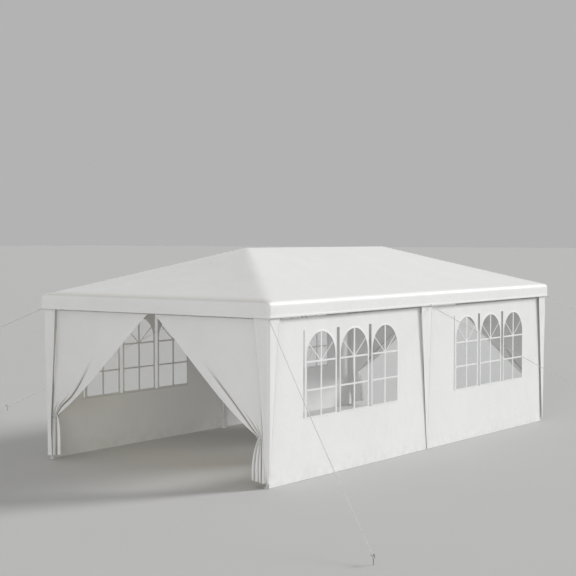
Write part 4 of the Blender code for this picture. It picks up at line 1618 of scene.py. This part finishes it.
@dataclass
class TubeFrame(Assembly):
    """The powder-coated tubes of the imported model, welded smooth, with spring buttons at the sockets."""

    button: float = 0.0032
    button_edge: float = 0.0022
    button_along: float = 0.105
    kinds = ("leg_front", "leg_rear", "eave_rail", "hip_rafter", "middle_rafter", "ridge_pole")

    def smooth_copy(self, name: str) -> Piece:
        """A welded, smooth-shaded copy of one node's mesh."""
        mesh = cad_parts[name].data.copy()
        mesh.materials.clear()
        mesh.materials.append(self.finishes.steel)
        weld(mesh, 0.00002, turn=False)
        mesh.shade_smooth()
        mesh.set_sharp_from_angle(angle=math.radians(34))
        return add_object(f"tube_{name}", mesh)

    def hubs(self) -> list[tuple[Array, list[Array]]]:
        """Each hub with the points that its sockets aim at."""
        rail = TENT.rail_height
        legs = [(column, side) for column in COLUMN_WORDS for side in (-1, 1)]
        corner = {(c, s): np.array([c * TENT.bay, s * TENT.half_span, rail]) for c, s in legs}
        top = {c: np.array([c * TENT.ridge_half, 0.0, rail + TENT.roof_rise]) for c in COLUMN_WORDS}
        found = []
        for column, side in legs:
            ends = [corner[0, side], corner[column, -side]] if column else [corner[-1, side], corner[1, side]]
            found.append((corner[column, side], [*ends, top[column]]))
        return found + [(place, [corner[column, -1], corner[column, 1]]) for column, place in top.items()]

    def build_buttons(self) -> Piece:
        """A spring button on the underside of each socket."""
        spots, aims = [], []
        for place, targets in self.hubs():
            for target in targets:
                way = unit(target - place)
                below = np.cross(way, unit(np.cross(way, UP)))
                below *= -np.sign(below[2])
                spots.append(place + way * self.button_along + below * (TENT.hub_radius - 0.0042))
                aims.append(below)
        values = {"Major": self.button, "Minor": self.button_edge, "Sides": 12, "Finish": self.finishes.zinc}
        return self.trees.rings.grow("spring_buttons", np.array(spots), [], values, aims=np.array(aims))

    def dress(self) -> None:
        """Copies each tube and adds the buttons."""
        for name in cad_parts:
            if name.startswith(self.kinds):
                publish(self.smooth_copy(name), Slot.STEEL, name)
        publish(self.build_buttons(), Slot.ZINC)


# Ropes and stakes


@dataclass
class GuyRope(LegAssembly):
    """A taut guy rope from an eyelet in the valance's hem to its stake."""

    stake: tuple[float, float]
    radius: float = 0.004
    sag: float = 0.025
    tie_height: float = 0.06
    stake_radius: float = 0.004
    stake_height: float = 0.07
    hook_radius: float = 0.014
    eyelet_inset: float = 0.0205
    twist = {"Lay": 0.026, "Strands": 3, "Sides": 9, "Groove": 0.14}
    wire = {"Lay": 1.0, "Strands": 1, "Sides": 16, "Groove": 0.0}

    @property
    def start(self) -> Array:
        """Where the rope leaves the hem."""
        x = self.column * (TENT.valance_x - 0.004)
        y = self.side.value * (TENT.valance_y - 0.002)
        return np.array([x, y, TENT.hem - 0.0003 - self.radius])

    @property
    def foot(self) -> Array:
        """The stake's place on the ground."""
        return np.array([*self.stake, 0.0])

    @property
    def away(self) -> Array:
        """Level direction from the hem to the stake."""
        return unit((self.foot - self.start) * (1, 1, 0))

    @property
    def eyelet(self) -> Array:
        """The eyelet in the hem, on the rounded corner or on the straight valance."""
        x = self.column * (TENT.valance_x - self.eyelet_inset * TENT.stretch)
        y = self.side.value * (TENT.valance_y - (self.eyelet_inset if self.column else 0.0))
        return np.array([x, y, TENT.hem + 0.011])

    def route(self) -> Array:
        """Points along the rope."""
        start, foot = self.start, self.foot
        lean = math.atan2(start[2] - self.tie_height, float(np.linalg.norm(foot - start)))
        reach = self.stake_radius + 0.0003 + self.radius * math.sin(lean)
        end = foot - self.away * reach + UP * self.tie_height
        share = np.linspace(0, 1, 41)[:, None]
        points = start + (end - start) * share
        points[:, 2] -= self.sag * 4 * share[:, 0] * (1 - share[:, 0])
        return points

    def cord(self, name: str, points: Array, radius: float, step: float = 0.003) -> Piece:
        """A twisted cord along points."""
        values = {"Radius": radius, "Step": step, "Finish": self.finishes.rope, **self.twist}
        return self.trees.cord.grow(name, points, chain(len(points)), values)

    def coil(self, centre: Array, axis: Array, radius: float, turns: float, pitch: float) -> Piece:
        """A few close turns of cord.

        Args:
            centre: The coil's middle.
            axis: Its direction.
            radius: Radius at the middle of the cord.
            turns: Number of turns.
            pitch: Distance between turns.

        Returns:
            The coil.
        """
        axis = unit(axis)
        first = unit(np.cross(axis, (0.31, 0.17, 0.93)))
        second = np.cross(axis, first)
        angle = np.linspace(0, math.tau * turns, round(18 * turns))[:, None]
        along = (angle / math.tau - turns / 2) * pitch
        points = centre + axis * along + radius * (first * np.cos(angle) + second * np.sin(angle))
        return self.cord("coil", points, self.radius * 0.8)

    def build_knots(self) -> Piece:
        """The loop through the hem, its knot, and the turns round the stake."""
        eyelet, route, thick = self.eyelet, self.route(), self.radius
        way = unit(route[1] - route[0])
        knot = route[0] + way * 0.02
        across = 0.7 if self.column else 1.0
        outward = unit(np.array([self.column * across, self.side.value * across, 0.0]))
        loop = [
            eyelet + outward * (0.004 * math.cos(turn)) + UP * (0.004 * math.sin(turn))
            for turn in np.linspace(0, math.pi, 9)
        ]
        inner = [knot, route[0] - UP * 0.002, eyelet + outward * 0.006 - UP * 0.006]
        outer = [eyelet - outward * 0.006 - UP * 0.008, eyelet - UP * 0.017, knot - UP * 0.006]
        hitch = route[-1] - self.away * 0.03 + UP * 0.006
        around = self.stake_radius + thick * 0.85
        return join_pieces(f"rope_knots_{self.word}", [
            self.cord("loop", self.rounded(np.array(inner + loop + outer)), thick * 0.7),
            self.coil(knot, way, thick * 1.5, 3.2, thick * 1.5),
            self.coil(self.foot + UP * self.tie_height, UP, around, 2.3, thick * 1.6),
            self.coil(hitch, route[-2] - route[-1], thick * 1.5, 4.2, thick * 1.5),
        ])

    @staticmethod
    def rounded(path: Array, steps: int = 6) -> Array:
        """A smooth line through points."""
        padded = np.concatenate([path[:1], path, path[-1:]])
        line = []
        for number in range(len(path) - 1):
            a, b, c, d = padded[number : number + 4]
            for t in (step / steps for step in range(steps)):
                bend = (2 * a - 5 * b + 4 * c - d) * t**2 + (3 * b - a - 3 * c + d) * t**3
                line.append(0.5 * (2 * b + (c - a) * t + bend))
        return np.array(line + [path[-1]])

    def build_eyelet(self) -> Piece:
        """The ring pressed into the hem."""
        aim = np.array([float(self.column), float(self.side.value), 0.0])
        values = {"Major": 0.0068, "Minor": 0.0017, "Sides": 20, "Finish": self.finishes.zinc}
        spot = np.array([self.eyelet + unit(aim) * 0.0008])
        return self.trees.rings.grow(f"eyelet_{self.word}", spot, [], values, aims=np.array([aim]))

    def build_stake(self) -> Piece:
        """The hooked wire stake."""
        foot, height, hook = self.foot, self.stake_height, self.hook_radius
        points = [foot, foot + UP * height * 0.5, foot + UP * height]
        for turn in np.linspace(0, math.pi, 14)[1:]:
            out = self.away * hook * (1 - math.cos(turn))
            points.append(foot + out + UP * (height + hook * math.sin(turn)))
        points.append(points[-1] - UP * 0.012)
        values = {"Radius": self.stake_radius, "Step": 0.003, "Finish": self.finishes.zinc, **self.wire}
        return self.trees.cord.grow(f"stake_wire_{self.word}", np.array(points), chain(len(points)), values)

    def dress(self) -> None:
        """Builds the rope, its knots, its eyelet and its stake."""
        rope = self.cord(f"rope_{self.word}", self.route(), self.radius, 0.0026)
        publish(rope, Slot.ROPE, f"guy_rope_{self.word}")
        publish(self.build_knots(), Slot.ROPE)
        publish(self.build_eyelet(), Slot.ZINC)
        publish(self.build_stake(), Slot.ZINC, f"stake_{self.word}")


# Studio


@dataclass(frozen=True)
class Studio:
    """Plain floor, soft light and the camera at the photograph's angle."""

    camera_place: tuple[float, float, float] = (-13.485, -9.368, 2.456)
    camera_azimuth: float = 36.09
    camera_pitch: float = -2.18
    camera_lens: float = 84.42
    floor_half: float = 260.0
    sky: Colour = (0.45, 0.45, 0.45)
    # Each lamp's name, direction towards it, strength, and width in radians, which softens the shadows.
    lamps: tuple[tuple[str, tuple[float, float, float], float, float], ...] = (
        ("key", (0.77, -0.462, 0.439), 2.61, 0.3),
        ("fill", (-0.94, -0.339, 0.052), 1.28, 0.7),
        ("rim", (-0.05, 0.995, 0.03), 0.5, 0.7),
    )
    glow_place: tuple[float, float, float] = (-2.3, 0.0, 1.71)
    glow_size: tuple[float, float] = (1.4, 2.4)
    glow_power: float = 7.0
    glow_colour: Colour = (1.0, 0.9, 0.7)

    def build_floor(self) -> None:
        """The floor."""
        half = self.floor_half
        points = np.array([(-half, -half, 0), (half, -half, 0), (half, half, 0), (-half, half, 0)])
        new_piece("floor", points, [(0, 1, 2, 3)], PALE_FLOOR.material())

    def build_lamps(self) -> None:
        """A soft key lamp from the right, a wider fill from the door end, and a weak one from behind."""
        for name, way, strength, spread in self.lamps:
            light = bpy.data.lights.new(name, "SUN")
            light.energy = strength
            light.angle = spread
            lamp = add_object(name, light)
            lamp.rotation_mode = "QUATERNION"
            lamp.rotation_quaternion = Vector(way).to_track_quat("Z", "Y")

    def build_glow(self) -> None:
        """A wide, weak and unseen lamp under the roof, for the warm light that comes through the cloth."""
        light = bpy.data.lights.new("glow", "AREA")
        light.shape = "RECTANGLE"
        light.size, light.size_y = self.glow_size
        light.energy = self.glow_power
        light.color = self.glow_colour
        lamp = add_object("glow", light)
        lamp.location = self.glow_place
        lamp.visible_camera = False
        lamp.visible_glossy = False

    def build_surround(self) -> None:
        """An even surround."""
        world = bpy.data.worlds.new("studio")
        world.use_nodes = True
        back = world.node_tree.nodes["Background"]
        back.inputs["Color"].default_value = (*self.sky, 1)
        back.inputs["Strength"].default_value = 1.0
        bpy.context.scene.world = world
        bpy.context.scene.view_settings.view_transform = "Standard"

    def build_camera(self) -> None:
        """The camera."""
        lens = bpy.data.cameras.new("camera")
        lens.lens = self.camera_lens
        lens.sensor_width = 36.0
        lens.sensor_fit = "HORIZONTAL"
        lens.clip_end = 500.0
        camera = add_object("camera", lens)
        azimuth, pitch = math.radians(self.camera_azimuth), math.radians(self.camera_pitch)
        level = math.cos(pitch)
        ahead = Vector((level * math.cos(azimuth), level * math.sin(azimuth), math.sin(pitch)))
        camera.location = self.camera_place
        camera.rotation_mode = "QUATERNION"
        camera.rotation_quaternion = ahead.to_track_quat("-Z", "Y")
        bpy.context.scene.camera = camera

    def dress(self) -> None:
        """Builds the studio."""
        self.build_camera()
        self.build_surround()
        self.build_lamps()
        self.build_glow()
        self.build_floor()


STAKES = {
    (-1, Side.FRONT): (-5.008, -3.98),
    (0, Side.FRONT): (0.381, -4.993),
    (1, Side.FRONT): (5.15, -4.23),
    (-1, Side.REAR): (-5.15, 4.73),
    (0, Side.REAR): (-0.495, 4.993),
    (1, Side.REAR): (5.008, 3.98),
}


def main() -> None:
    """Builds every piece in order."""
    logging.basicConfig(level=logging.INFO, format="%(message)s")
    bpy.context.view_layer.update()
    Studio().dress()
    shared = Finishes(), Trees()
    Canopy(*shared).dress()
    for number, side in enumerate(Side):
        for half in (-1, 1):
            WindowWall(*shared, side, half, seed=11.0 + 4 * number + half).dress()
    for number, end in enumerate(End):
        for side in Side:
            drape = FAR_DRAPE if (end is End.LEFT) == (side is Side.REAR) else NEAR_DRAPE
            Curtain(*shared, end, side, 21.0 + 3 * number + side.value, drape).dress()
    for column in COLUMN_WORDS:
        for side in Side:
            LegCover(*shared, column, side, seed=31.0 + 2 * column + side.value).dress()
    TubeFrame(*shared).dress()
    for (column, side), stake in STAKES.items():
        GuyRope(*shared, column, side, stake).dress()


if __name__ == "__main__":
    main()
